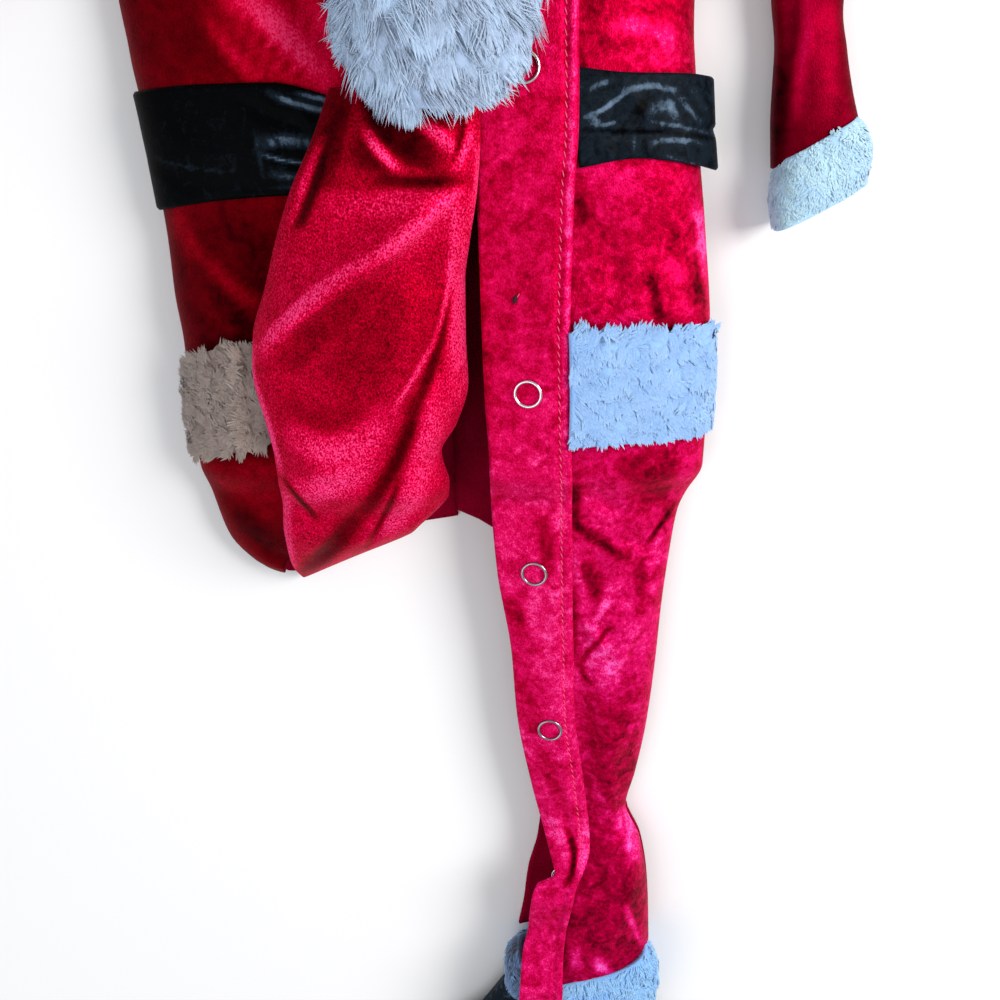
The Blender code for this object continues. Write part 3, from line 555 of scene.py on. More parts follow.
def front_points(section, edges, bottom, folds):
    """Places a front: where its edges(y), bottom(x) and the neck and shoulder cut it."""

    def place(a, b):
        def across_at(y):
            left, right, _ = section(y)
            middle, half = (left + right) / 2, (right - left) / 2
            start, stop = (np.arccos(np.clip((middle - x) / half, -1, 1)) for x in edges(y))
            return middle - half * np.cos(start + (stop - start) * a)

        low = bottom(across_at(bottom(section(ANKLE_SEAM)[0])))
        y = low + (SHOULDER_TOP - low) * b
        x = across_at(y)
        return x, below_top(x, y, NECK_DROP_FRONT), front_height(x, y, section, folds)

    return place


tuck_line = smooth(RIGHT_FRONT_END)
front_left = cloth(
    "left_front_and_leg", 56, 380,
    front_points(
        left_section, lambda y: (placket_row(y)[1] - NECK_TO_STRIP, left_section(y)[1]),
        ankle_line, LEG_DIPS + LEFT_CREASES,
    ),
    VELVET, velvet, velvet_inside, painted(0.5, LEFT_NAP_AND_SHADING),
)
# The right front lies on the shaded side: its low base value and dark strokes paint that shade.
front_right = cloth(
    "right_front_and_hip", 50, 130,
    front_points(
        right_section, lambda y: (right_section(y)[0], right_front_edge(y)[0]),
        lambda x: tuck_line(x)[0], RIGHT_CREASES,
    ),
    VELVET, velvet_shaded, velvet_inside, painted(0.22, RIGHT_NAP_AND_SHADING),
)
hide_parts("front_left", "leg_left_front")
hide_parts("front_right", "leg_right_front")

# ---------------------------------------------------------------- folded leg
# The right leg is folded up at the hip, so its back faces up. It puffs over the layers folded
# under it, is drawn in to its ankle under the beard, and its free edge drops into the opening.

# Rows from the fold to the cuff: how far along, left x, left y, right x, right y, crown above
# the front, drop of the right edge into the front opening. It rises from the fold in FLAP_TURN of
# its length, and its edge dips within FREE_EDGE of the middle.
FLAP = [
    (0.00, -80.5, -26, -39, -3.5, 5, 9), (0.07, -82.5, -11, -29, 6, 8, 10),
    (0.14, -82.5, 4, -19.5, 17, 10, 10), (0.22, -81.5, 22, -19, 25, 11, 9),
    (0.30, -82, 37, -21.5, 37, 11, 8), (0.37, -84, 50, -15.5, 48, 11, 10),
    (0.46, -87, 67, -11.4, 63, 11, 11), (0.55, -85.5, 82, -12, 80, 11, 11),
    (0.64, -80, 98, -12, 98, 11, 9), (0.73, -75, 114, -10, 114, 11, 2),
    (0.82, -68.5, 130, -7.4, 130, 10, 0), (0.91, -60, 146, -6.2, 146, 9, 0),
    (1.00, -53.5, 161, -6, 161, 9, 0),
]
FLAP_REST = 2.8
FLAP_TURN = 0.11
FLAP_ROUNDNESS = 2.2
FREE_EDGE = 34.0
# Creases across the folded leg, from the ankle down to the fold.
FLAP_FOLDS = [
    (-54.8, 149, -62.8, 129, -68, 119, 2.5, 2.5, -2.2), (-42, 147, -38, 142, -33.5, 137, 2, 2, 1.8),
    (-40, 133.5, -25, 133, -10, 132.6, 2, 2.4, -2.2), (-50, 137, -36, 136, -18, 137, 3, 3, 1.2),
    (-40, 162, -36, 149, -18, 136, 5, 2.5, -2.2), (-25, 151, -19, 147, -13, 141, 3, 3, 1.2),
    (-12, 151, -13, 144, -15, 138, 1.2, 1.2, -1.0),
    (-15.7, 129.3, -38, 109.5, -82.5, 79, 2.4, 9, 5.0), (-11.4, 112, -50, 86, -78, 64, 9, 9, -1.6),
    (-66, 62, -46, 84, -26, 104, 9, 9, 1.8), (-14, 126, -18, 98, -36, 60, 1.8, 2.2, 1.2),
    (-17.8, 97, -33, 54, -54, 9.7, 3.6, 4.2, -3.8), (-52, 16, -62, 2, -77.3, -14, 3.5, 4, -2.6),
    (-11.4, 140.7, -13, 112.8, -13.5, 61, 3, 3, 1.6), (-22, 62, -26, 42, -40, 14, 4.5, 4.5, 2.2),
    (-37.5, 26, -44.9, 8.7, -51, -1, 1.4, 2.0, -1.8),
    (-82.3, 28, -76, 20.7, -68, 11.2, 1.5, 1.5, -1.4), (-74, 44, -58, 36, -42, 44, 9, 6, 1.8),
    (-79, 20, -80, 4, -80, -14, 3, 3, 1.2),
]
# Painted light and shade on the folded leg, with the lie of its nap: bright rims on its ridges and
# dark shade in its creases.
FLAP_NAP_AND_SHADING = [
    (-46, 166, -51, 149, -57, 130, 5, 9, 0.1), (-14, 162, -30, 147, -48, 137, 9, 12, 0.04),
    (-41, 162, -46, 149, -49, 139, 1.8, 1.8, 0.28), (-41, 164, -36, 149, -18, 135, 6, 2.2, 0.04),
    (-42, 149, -37, 142, -31, 137, 2.0, 1.8, 0.95), (-25, 151, -19, 147, -12.5, 141, 2.8, 2.4, 0.8),
    (-12, 153, -12.5, 145, -15, 137, 1.3, 1.3, 0.14),
    (-53, 137, -46, 134.8, -38, 134.4, 3, 3, 0.36), (-58, 127, -35, 127, -12, 128, 4, 4, 0.62),
    (-38, 133.4, -24, 133.2, -10, 132.6, 1.9, 1.9, 0.05),
    (-16, 132, -34, 116, -60, 99, 9, 1.8, 0.66), (-46, 109, -66, 95, -84, 77, 5, 1.5, 0.82),
    (-14, 131, -30, 117, -50, 106, 3.0, 1.3, 0.86), (-60, 60, -42, 80, -22, 101, 15, 13, 0.3),
    (-76, 72, -60, 84, -40, 104, 7, 4, 0.26), (-34, 66, -32, 80, -24, 94, 4, 4, 0.4),
    (-76, 62, -62, 55, -48, 60, 5, 5, 0.3), (-9, 149, -11, 143, -15, 136, 1.5, 1.5, 0.78),
    (-7.5, 144, -6.5, 134, -9.5, 118, 1.8, 1.8, 0.88), (-12, 124, -14, 94, -14, 58, 4, 4, 0.78),
    (-21, 62, -25, 44, -34, 22, 5, 5, 0.72), (-27, 29, -37, 16, -45, 6, 5, 5, 0.76),
    (-72, 48, -56, 43, -39, 55, 6, 5, 0.74), (-74, 24, -60, 30, -46, 39, 6, 6, 0.8),
    (-18, 99, -22, 76, -31, 56, 1.9, 2.2, 0.1), (-30, 60, -36, 40, -54, 12, 2.6, 3.0, 0.1),
    (-52, 16, -64, 0, -80, -20, 4.5, 4, 0.12), (-14.5, 125, -17, 101, -23, 79, 1.0, 1.0, 0.82),
    (-22, 82, -29, 70, -37, 58, 1.0, 1.0, 0.82), (-79, 31, -73, 23, -67, 13, 1.3, 1.3, 0.1),
    (-79, 26, -81, 5, -83, -18, 3, 3.5, 0.78), (-35, 34, -42, 17, -51, 0, 1.2, 1.2, 0.16),
    (-85, 80, -87, 70, -84, 60, 1.6, 1.6, 0.95), (-85, 62, -82, 48, -79, 33, 1.6, 1.6, 0.95),
    (-50, 154, -60, 130, -66, 119, 2.0, 2.0, 0.04), (-56, 146, -63, 132, -67, 122, 1.6, 1.6, 0.6),
]
flap_row = smooth(FLAP)


def on_front(x, y):
    """Height of the right front under the folded leg."""
    return front_height(x, y, right_section)


def flap_points(a, b, folds=FLAP_FOLDS):
    """Outer face of the folded leg, from its left edge to its right, and fold to cuff."""
    left_x, left_y, right_x, right_y, crown, drop = flap_row(b)
    ends = 0.5 - 0.5 * np.cos(np.pi * a)
    x = left_x + (right_x - left_x) * ends
    y = left_y + (right_y - left_y) * ends
    round_off = np.abs(2 * ends - 1)
    puff = crown * (1 - round_off**FLAP_ROUNDNESS) ** (1 / FLAP_ROUNDNESS)
    reach = np.maximum(right_x + FREE_EDGE, 1.0)
    free = np.where(right_x > -FREE_EDGE, np.clip((x + FREE_EDGE) / reach, 0, None), 0.0)
    wall = 1.4 * VELVET
    rest = on_front(x, y) + FLAP_REST + wall - drop * free * free
    turned = np.sqrt(np.clip(1 - (1 - np.minimum(b / FLAP_TURN, 1)) ** 2, 0, 1))
    low = VELVET + SEAM_GAP + wall
    z = low + (rest + puff - low) * turned + relief(x, y, folds) * (1 - round_off**4)
    return x, y, np.maximum(z, low)


leg_back = cloth(
    "right_leg_folded", 88, 200, flap_points, VELVET, velvet_soft, velvet_inside,
    painted(0.48, FLAP_NAP_AND_SHADING),
)
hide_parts("leg_right_back")


def layer_points(under):
    """The folded layers inside the leg: their upper face, or their lower one."""

    def place(a, b):
        x, y, z = flap_points(0.22 + 0.54 * a, 0.12 + 0.85 * b)
        z = z - 2.2 * VELVET - SEAM_GAP
        if under:
            z = np.minimum(z - 1.0, np.maximum(on_front(x, y) + FLAP_REST - 0.4, z - 14))
        return x, y, z

    return place


leg_layers = slab(
    "right_leg_inner_layers", 30, 60, layer_points(False), layer_points(True), velvet_inside
)
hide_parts("leg_right_layers")

# ---------------------------------------------------------------- snap band
# A band of velvet runs from the neck to the foot and closes the front. It is sewn on at its right
# edge and folded at its left, and carries ring snaps of bright wire, fixed by prongs from behind.

BAND = 2.0
BAND_REST = 1.1
BAND_ROUND = 1.1
BACKED_FROM, BACKED_FADE = 85, 25
STITCH_IN = 4.2
ROLL_IN = 2.0
SNAP_RADIUS = 4.7
SNAP_WIRE = 0.55
SNAP_CLEAR = 1.1
BAND_CREASES = [
    (26, -120, 30, -140, 36, -158, 2, 2, -1.0), (20, -128, 27, -146, 33, -166, 2, 3, 0.8),
    (33, -168, 26, -180, 16, -188, 2, 3, 0.9), (30, -176, 24, -188, 20, -204, 2, 2, -0.9),
]
# Painted light and shade on the band, with the lie of its nap.
BAND_NAP_AND_SHADING = [
    (8, 200, 9, 130, 10, 60, 26, 26, 0.5), (12, 20, 18, -40, 24, -110, 22, 22, 0.66),
    (17, -100, 22, -115, 26, -127, 3, 3, 0.42), (19, -134, 27, -145, 32, -156, 4, 4, 0.75),
    (37, -134, 38, -150, 34, -164, 3, 3, 0.8), (29, -142, 33, -155, 29, -166, 1.6, 1.6, 0.04),
    (21, -172, 24, -190, 22, -214, 5, 5, 0.55), (17, 8, 18, -3, 19, -12, 3, 3, 0.3),
    (3, -24, 6, -34, 9, -48, 4, 4, 0.4), (8, -52, 12, -75, 19, -92, 5, 5, 0.48),
    (24, 290, 23, 150, 23.5, 0, 1.2, 1.2, 0.75), (-5, 130, -5, 90, -3, 30, 2, 2, 0.45),
]


def band_points(a, y, out):
    """A point on the band, at a share of its width and a height above its underside. It follows
    the front down to the waist, and below that it spans from its sewn edge."""
    left, right, droop, lift = placket_row(y)
    x = left + (right - left) * a
    sewn = right - NECK_TO_STRIP
    free = np.clip((sewn - x) / (sewn - left), 0, None)
    backed = np.clip((y - BACKED_FROM) / BACKED_FADE, 0.0, 1.0)
    over_panel = front_height(x, y, left_section, LEG_DIPS)
    level = front_height(np.maximum(x, sewn), y, left_section, LEG_DIPS)
    z = level + (over_panel - level) * backed + SEAM_GAP + BAND_REST + lift
    z = z - droop * free**1.5 + relief(x, y, BAND_CREASES)
    return x, below_top(x, y, NECK_DROP_FRONT), z + out


def band_face(under):
    """The band's upper face, with its stitched seam and rolled edge, or its underside."""
    first, last = PLACKET[-1][0], PLACKET[0][0] - 2

    def place(a, b):
        y = first + (last - first) * b
        left, right, *_ = placket_row(y)
        share = 0.5 - 0.5 * np.cos(np.pi * (0.12 + 0.76 * a))
        share = (share - share.min()) / (share.max() - share.min())
        from_left, from_right = share * (right - left), (1 - share) * (right - left)
        rim = np.clip(np.minimum(from_left, from_right) / BAND_ROUND, 0, 1)
        swell = np.sqrt(1 - (1 - rim) ** 2)
        stitched = np.exp(-(((from_right - STITCH_IN) / 0.8) ** 2))
        rolled = np.exp(-(((from_right - ROLL_IN) / 1.4) ** 2))
        out = BAND / 2 + (BAND / 2 + 0.35 * rolled - 0.7 * stitched) * swell
        return band_points(share, y, BAND / 2 - BAND / 2 * swell if under else out)

    return place


band = slab(
    "snap_band", 36, 320, band_face(False), band_face(True), velvet_band, painted(0.58, BAND_NAP_AND_SHADING)
)
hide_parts("placket")

wires = [
    clouded("bright_wire", 0.22, 1.2, 0.6, (0.6, 0.56, 0.6), (0.9, 0.88, 0.9), 1.0),
    clouded("darker_wire", 0.22, 1.2, 0.6, (0.27, 0.252, 0.27), (0.405, 0.396, 0.405), 1.0),
]


def snap_ring(name, middle, facing, wire):
    """A ring of wire: a small circle spun about the line that the snap faces along."""
    shape = bmesh.new()
    ring = bmesh.ops.create_circle(shape, segments=12, radius=SNAP_WIRE * MM)["verts"]
    turn = facing.to_track_quat("Z", "Y").to_matrix()
    for vert in ring:
        vert.co = Vector((vert.co.x + SNAP_RADIUS * MM, 0, vert.co.y * 0.85))
    bmesh.ops.spin(
        shape, geom=shape.verts[:] + shape.edges[:], cent=(0, 0, 0), axis=(0, 0, 1),
        angle=2 * np.pi, steps=56, use_merge=True,
    )
    bmesh.ops.remove_doubles(shape, verts=shape.verts, dist=0.01 * MM)
    bmesh.ops.recalc_face_normals(shape, faces=shape.faces)
    for vert in shape.verts:
        vert.co = middle + turn @ vert.co
    piece = to_mesh(name + "_ring", shape, wire)
    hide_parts(name)
    return piece


def band_spot(x, y, spread=SNAP_RADIUS):
    """The middle of a patch of the band, in metres, and the way that it faces."""
    left, right, *_ = placket_row(y)
    share, reach = (x - left) / (right - left), spread / (right - left)
    around = ((share - reach, y), (share + reach, y), (share, y - spread), (share, y + spread))
    west, east, south, north = (
        Vector([float(value) for value in band_points(at, np.float64(row), BAND)]) * MM
        for at, row in around
    )
    facing = (east - west).cross(north - south).normalized()
    return (west + east + south + north) / 4, facing


# Ring snaps on the band, x and y, and the one caught under the pinch above the ankle. The upper
# two are lighter in colour and the lower two darker.
SNAPS = [(7.4, 167), (10, 60.5), (13.4, -14.2), (21, -88.4)]
PINCHED_SNAP = (26.8, -165)
for number, (x, y) in enumerate(SNAPS, 1):
    middle, facing = band_spot(x, y)
    middle += facing * SNAP_WIRE * SNAP_CLEAR * MM
    snap_ring(f"snap_{number}", middle, facing, wires[number > 2])
x, y = PINCHED_SNAP
z = float(front_height(x, y, left_section, LEG_DIPS)) + SNAP_WIRE + SNAP_CLEAR
middle, facing = Vector((x + 1.6, y - 2, z)) * MM, Vector((-0.1, 0, 1))
snap_ring(f"snap_{len(SNAPS) + 1}", middle, facing, wires[0])

thread = clouded("red_thread", 0.6, 0.9, 0.8, (0.6, 0.0, 0.06), (1.0, 0.12, 0.3))


def stitch_row(name, spots, length, width, slant, material):
    """A row of lock stitches: one small rounded stitch, set again and again along the seam."""
    stitch = bmesh.new()
    bmesh.ops.create_uvsphere(stitch, u_segments=6, v_segments=6, radius=0.5)
    stitch.verts.ensure_lookup_table()
    form = np.array([vert.co for vert in stitch.verts])
    faces = [[vert.index for vert in face.verts] for face in stitch.faces]
    stitch.free()
    points, polygons = [], []
    for i, (middle, ahead, facing) in enumerate(spots):
        side = facing.cross(ahead).normalized()
        line = (ahead + side * slant).normalized()
        side = facing.cross(line).normalized()
        axes = np.array([side * width, facing * width, line * length])
        points.append(form @ axes * MM + np.array(middle))
        polygons += [[index + i * len(form) for index in face] for face in faces]
    mesh = bpy.data.meshes.new(name)
    mesh.from_pydata(np.concatenate(points).tolist(), [], polygons)
    mesh.shade_smooth()
    return add_piece(name, mesh, material)


def seam_spots(first, last, pitch, inset):
    """Places along the band's sewn edge, one for each stitch."""
    spots = []
    for y in np.arange(first, last, pitch):
        _, right, *_ = placket_row(y)
        middle, facing = band_spot(right - inset, y, 1.0)
        _, ahead_right, *_ = placket_row(y + 1)
        ahead = Vector((ahead_right - right, 1, 0)).normalized()
        spots.append((middle - facing * 0.35 * MM, ahead, facing))
    return spots


band_stitches = stitch_row(
    "snap_band_stitches", seam_spots(first=-150, last=312, pitch=3.0, inset=STITCH_IN),
    length=2.4, width=0.5, slant=0.35, material=thread,
)
# A snag in the band, with the end of a pulled thread beside it. A dark flattened lump paints the
# shadow in the snag.
SNAG = (5.2, 94)
painted_snag_shadow = clouded("snag_shadow_lump", 0.9, 0.6, 0.6, (0.01, 0.0, 0.001), (0.05, 0.0, 0.008))
middle, facing = band_spot(*SNAG, 1.0)
snag_shadow_lump = stitch_row(
    "band_snag", [(middle, Vector((0.3, 1, 0)), facing)],
    length=3.2, width=1.9, slant=0, material=painted_snag_shadow,
)
snag_thread = stitch_row(
    "band_snag_thread", [(middle + Vector((0.9, 1.1, 0.3)) * MM, Vector((0.6, 1, 0)), facing)],
    length=2.2, width=0.5, slant=0, material=thread,
)

# ---------------------------------------------------------------- belt
# The belt is sewn into the side seams and under the band: a double band of black leatherette,
# stiff and creased where the waist bends. On the left a seam runs along it at two thirds.

LEATHERETTE = 1.2
EDGE_ROUND = 1.2
BELT_PROUD = 4.0
# Belt pieces on the fronts: x, lower edge, upper edge.
BELT_LEFT_FRONT = [(24.6, 136.6, 167.4), (44, 139.4, 165.6), (60, 137.4, 165.5), (76, 131, 163)]
BELT_RIGHT_FRONT = [(-127, 120, 159), (-94, 126, 162), (-70, 128, 162.5), (-50, 129, 158)]
BELT_BACK = (123.0, 159.0)
BELT_LEFT_CREASES = [
    (30, 148, 46, 147, 60, 149, 0.7, 2.2, -0.9), (60, 149, 68, 148, 76, 145, 0.7, 2.2, -0.9),
    (40, 162, 44, 156, 50, 152, 1.5, 2.5, 0.9), (54, 163, 50, 157, 46, 150, 1.5, 2.0, 0.8),
    (62, 162, 60, 156, 56, 151, 2.0, 2.5, -0.7), (34, 160, 36, 154, 33, 150, 1.5, 1.5, -0.6),
    (38, 146, 38, 143, 39, 140, 1.0, 1.2, -0.5), (47, 147, 48, 143, 48, 140, 1.0, 1.4, 0.5),
    (56, 146, 55, 142, 56, 138, 1.0, 1.4, -0.5), (66, 146, 66, 141, 68, 136, 1.2, 1.4, 0.5),
]
BELT_RIGHT_CREASES = [
    (-84, 158, -72, 152, -62, 149, 1.5, 2.2, -1.1), (-76, 139, -68, 136, -58, 137, 1.0, 1.6, 0.9),
    (-80, 146, -70, 144, -56, 147, 2.0, 2.0, -0.7), (-64, 158, -62, 152, -58, 146, 1.2, 1.6, 0.8),
    (-90, 132, -78, 130, -64, 131, 1.6, 2.0, -0.7), (-112, 150, -100, 142, -90, 138, 4.0, 4.0, 0.7),
    (-118, 140, -106, 132, -94, 130, 3.0, 3.0, -0.7), (-74, 158, -72, 150, -74, 142, 1.2, 1.2, 0.5),
]

leatherette, tree, shader, place = new_material("black_leatherette", 0.42)
shader.inputs["Specular IOR Level"].default_value = 0.02
grain = noise(tree, place, 0.7)
wear_and_glint_patches = noise(tree, place, 4, detail=4.0, distortion=1.0)
# Painted highlight: the bluish top stop stands in for glints, where the belt's value and its
# patches are high.
colour_by(
    tree, shader, add_up(tree, attribute(tree, "nap_and_shade"), (wear_and_glint_patches, 0.9), (grain, 0.3)),
    [(0.1, 0.0008, 0.001, 0.0014), (0.55, 0.008, 0.014, 0.022), (1.0, 0.12, 0.18, 0.26)],
)
add_bump(tree, shader, add_up(tree, 0.5, (grain, 0.3), (wear_and_glint_patches, 0.5)), 0.3)
# Painted light and shade on the belt, lines along its seam and its creases: bright where they
# catch the light, dark in their hollows.
BELT_LEFT_SHADING = [
    (26, 150.5, 34, 150, 38, 151.5, 0.7, 0.7, 0.8), (48, 151, 60, 149, 74, 146.5, 0.8, 0.8, 0.72),
    (26, 151.5, 34, 155, 42, 161, 0.9, 0.9, 0.95), (40, 160, 48, 161.5, 58, 160, 1.2, 1.2, 0.9),
    (28, 160, 32, 162, 37, 163.5, 1.0, 1.0, 0.7), (49, 154, 55, 155.5, 58, 151.5, 2.2, 2.2, 0.85),
    (47, 158, 46, 155, 45, 151, 1.5, 1.5, 0.08), (49, 144, 58, 145, 69, 143.5, 1.1, 1.1, 0.8),
    (44, 148, 44, 144.5, 44, 141, 0.8, 0.8, 0.6), (28, 153, 31, 151.5, 34, 148, 1.2, 1.2, 0.85),
    (59, 158, 63, 154, 68, 149.5, 1.2, 1.2, 0.7), (26, 148, 50, 147.6, 74, 144.8, 0.7, 0.7, 0.08),
    (52, 139.6, 60, 138.8, 70, 136, 0.8, 0.8, 0.6), (62, 162, 66, 158, 70, 152, 1.4, 1.4, 0.55),
]
BELT_RIGHT_SHADING = [
    (-79, 141.5, -70, 139, -58, 138, 0.8, 0.8, 0.85),
    (-78, 155, -69, 151, -56, 148, 1.6, 1.6, 0.05),
    (-74, 159.5, -64, 156, -53, 154, 1.3, 1.3, 0.85),
    (-78, 143.5, -68, 145, -58, 143, 2.2, 2.2, 0.72),
    (-77, 135, -69, 134, -60, 134, 1.5, 1.5, 0.62), (-65, 159.5, -59, 158, -52, 157, 1.2, 1.2, 0.9),
    (-74, 130.5, -66, 130.5, -58, 130, 0.8, 0.8, 0.6),
    (-79, 150, -78.5, 141, -78, 132, 1.0, 1.0, 0.45),
    (-118, 139.5, -104, 136.5, -84, 135, 0.6, 0.6, 0.35),
]


def applied(edges, section, to_left, depth_at, lift, creases=(), proud=0.0):
    """Places a band on a front: edges has rows of x, lower y and upper y, lift raises its face,
    and at the side seam it can stand proud."""
    span = smooth(edges)
    side_x, inner_x = (edges[-1][0], edges[0][0]) if to_left else (edges[0][0], edges[-1][0])
    left, right, _ = section(sum(span(side_x)) / 2)
    middle, half = (left + right) / 2, (right - left) / 2
    inner = np.arccos((middle - inner_x) / half)
    outer = np.pi if to_left else 0.0

    def place(a, b):
        share = -np.cos(inner + (outer - inner) * (a if to_left else 1 - a))
        low_y, high_y = span(middle + half * share)
        y = low_y + (high_y - low_y) * b
        row_left, row_right, crown = section(y)
        x = (row_left + row_right) / 2 + (row_right - row_left) / 2 * share
        flat = np.abs(share)
        rim = np.clip(np.minimum(b, 1 - b) * (high_y - low_y) / EDGE_ROUND, 0, 1)
        swell = 0.35 + 0.65 * np.sqrt(1 - (1 - rim) ** 2)
        depth = SEAM_GAP + SEWN_CLEAR + lift * depth_at(x, flat) * swell + proud * flat**8
        depth = depth + lift * relief(x, y, creases)
        dome = crown * (1 - np.minimum(flat, 1) ** ROUNDNESS) ** (1 / ROUNDNESS)
        x = x + np.sign(share) * flat**4 * depth
        return x, y, seam_height(y) + dome + depth * (1 - flat**4)

    return place


def belt_depth(x, flat):
    """The belt is as thick all over."""
    return LEATHERETTE


belt_left = slab(
    "belt_left_front", 80, 40,
    applied(
        BELT_LEFT_FRONT, left_section, True, belt_depth,
        lift=1.0, creases=BELT_LEFT_CREASES, proud=BELT_PROUD,
    ),
    applied(BELT_LEFT_FRONT, left_section, True, belt_depth, lift=0.0, proud=BELT_PROUD),
    leatherette, painted(0.34, BELT_LEFT_SHADING),
)
# The right belt lies on the shaded side: its low base value paints it deeper black.
belt_right = slab(
    "belt_right_front", 80, 40,
    applied(
        BELT_RIGHT_FRONT, right_section, False, belt_depth, lift=1.0, creases=BELT_RIGHT_CREASES
    ),
    applied(BELT_RIGHT_FRONT, right_section, False, belt_depth, lift=0.0),
    leatherette, painted(0.02, BELT_RIGHT_SHADING),
)


def flat_band(low, high, thick):
    """Places a band flat on the floor under the back."""

    def place(a, b):
        y = low + (high - low) * b
        left, right, _ = left_section(y)
        rim = np.clip(np.minimum(b, 1 - b) * (high - low) / EDGE_ROUND, 0, 1)
        return left + (right - left) * a, y, thick * (0.4 + 0.6 * np.sqrt(1 - (1 - rim) ** 2))

    return place


belt_back = slab(
    "belt_across_back", 60, 16, flat_band(*BELT_BACK, LEATHERETTE),
    lambda a, b: (*flat_band(*BELT_BACK, 0.0)(a, b)[:2], 0.0 * a), leatherette,
)
for piece, node in ((belt_left, "belt_left"), (belt_right, "belt_right"), (belt_back, "belt_back")):
    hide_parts(node)

# ---------------------------------------------------------------- hip trim
# Bands of long white plush are stitched round the hips over the seam of the legs. The pile
# lies in soft clumps. Under the folded leg it is pressed flat.

TRIM_LEFT_FRONT = [(24.6, 39.8, 84), (54, 40.5, 82.5), (72, 40, 82.5), (82, 41.5, 78)]
TRIM_RIGHT_FRONT = [(-120, 30, 58), (-106, 30, 75), (-94, 34, 79), (-78, 40, 79.5)]
TRIM_BACK = (36.0, 72.0)
TRIM_BACK_THICK = 4.0
TRIM_MIDDLE = 7.0
TRIM_SIDE = 2.0
PRESSED_X = -93.0
PRESSED_FADE = 3.0
PRESSED = 1.4
ROOT_DEPTH = 0.3
CLUMP_WAVES = 14


def plush_material(name, deep, shade, light, tone_size):
    """Plush: pile colour from deep to full, clouded a little, in fine hairs along each lock. The
    deep and shade stops are painted shade.
    """
    material, tree, shader, place = new_material(name, 0.8)
    shader.inputs["Specular IOR Level"].default_value = 0.2
    cloud = noise(tree, place, tone_size)
    fine = noise(tree, place, 0.9)
    hairs = reckon(tree, "SINE", attribute(tree, "lane"))
    value = add_up(tree, attribute(tree, "nap_and_shade"), (cloud, 0.4), (fine, 0.15), (hairs, 0.05))
    colour_by(tree, shader, value, [(0.0, *deep), (0.32, *shade), (0.68, *light)])
    add_bump(tree, shader, fine, 0.2)
    shader.inputs["Subsurface Weight"].default_value = 0.25
    shader.inputs["Subsurface Radius"].default_value = (1.0, 1.0, 1.0)
    shader.inputs["Subsurface Scale"].default_value = 1.5 * MM
    shader.inputs["Sheen Weight"].default_value = 0.2
    shader.inputs["Sheen Tint"].default_value = (0.85, 0.93, 1.0, 1)
    return material


# The plush is white. Its copies paint light into the colour: blue tints where the cool light falls,
# and a grey-brown copy for the hip trim and ankle cuff that lie in shade.
plush_blue = plush_material(
    "plush_cool_white", (0.12, 0.18, 0.28), (0.24, 0.43, 0.8), (0.37, 0.6, 0.96), 12
)
plush_in_shade = plush_material(
    "plush_white_in_shade", (0.09, 0.07, 0.06), (0.24, 0.18, 0.155), (0.44, 0.35, 0.31), 8
)
plush_beard = plush_material(
    "plush_beard_white", (0.14, 0.13, 0.16), (0.34, 0.43, 0.6), (0.52, 0.73, 1.0), 14
)


def furrowed(place, depth, size, seed):
    """The same surface with soft clumps of pile raised from it, about size millimetres wide."""
    rng = np.random.default_rng(seed)
    waves = []
    for _ in range(CLUMP_WAVES):
        turn, scale = rng.uniform(0, 2 * np.pi), rng.uniform(0.6, 1.7) / size
        waves.append((np.cos(turn) * scale, np.sin(turn) * scale, rng.uniform(0, 2 * np.pi)))

    def placed(a, b):
        x, y, z = place(a, b)
        rise = sum(np.sin(2 * np.pi * (kx * x + ky * y) + phase) for kx, ky, phase in waves)
        rise = np.abs(rise) / 6
        rim = np.clip(np.minimum(np.minimum(a, 1 - a), np.minimum(b, 1 - b)) * 12, 0, 1)
        return x, y, z + depth * (rise - 0.4) * rim

    return placed


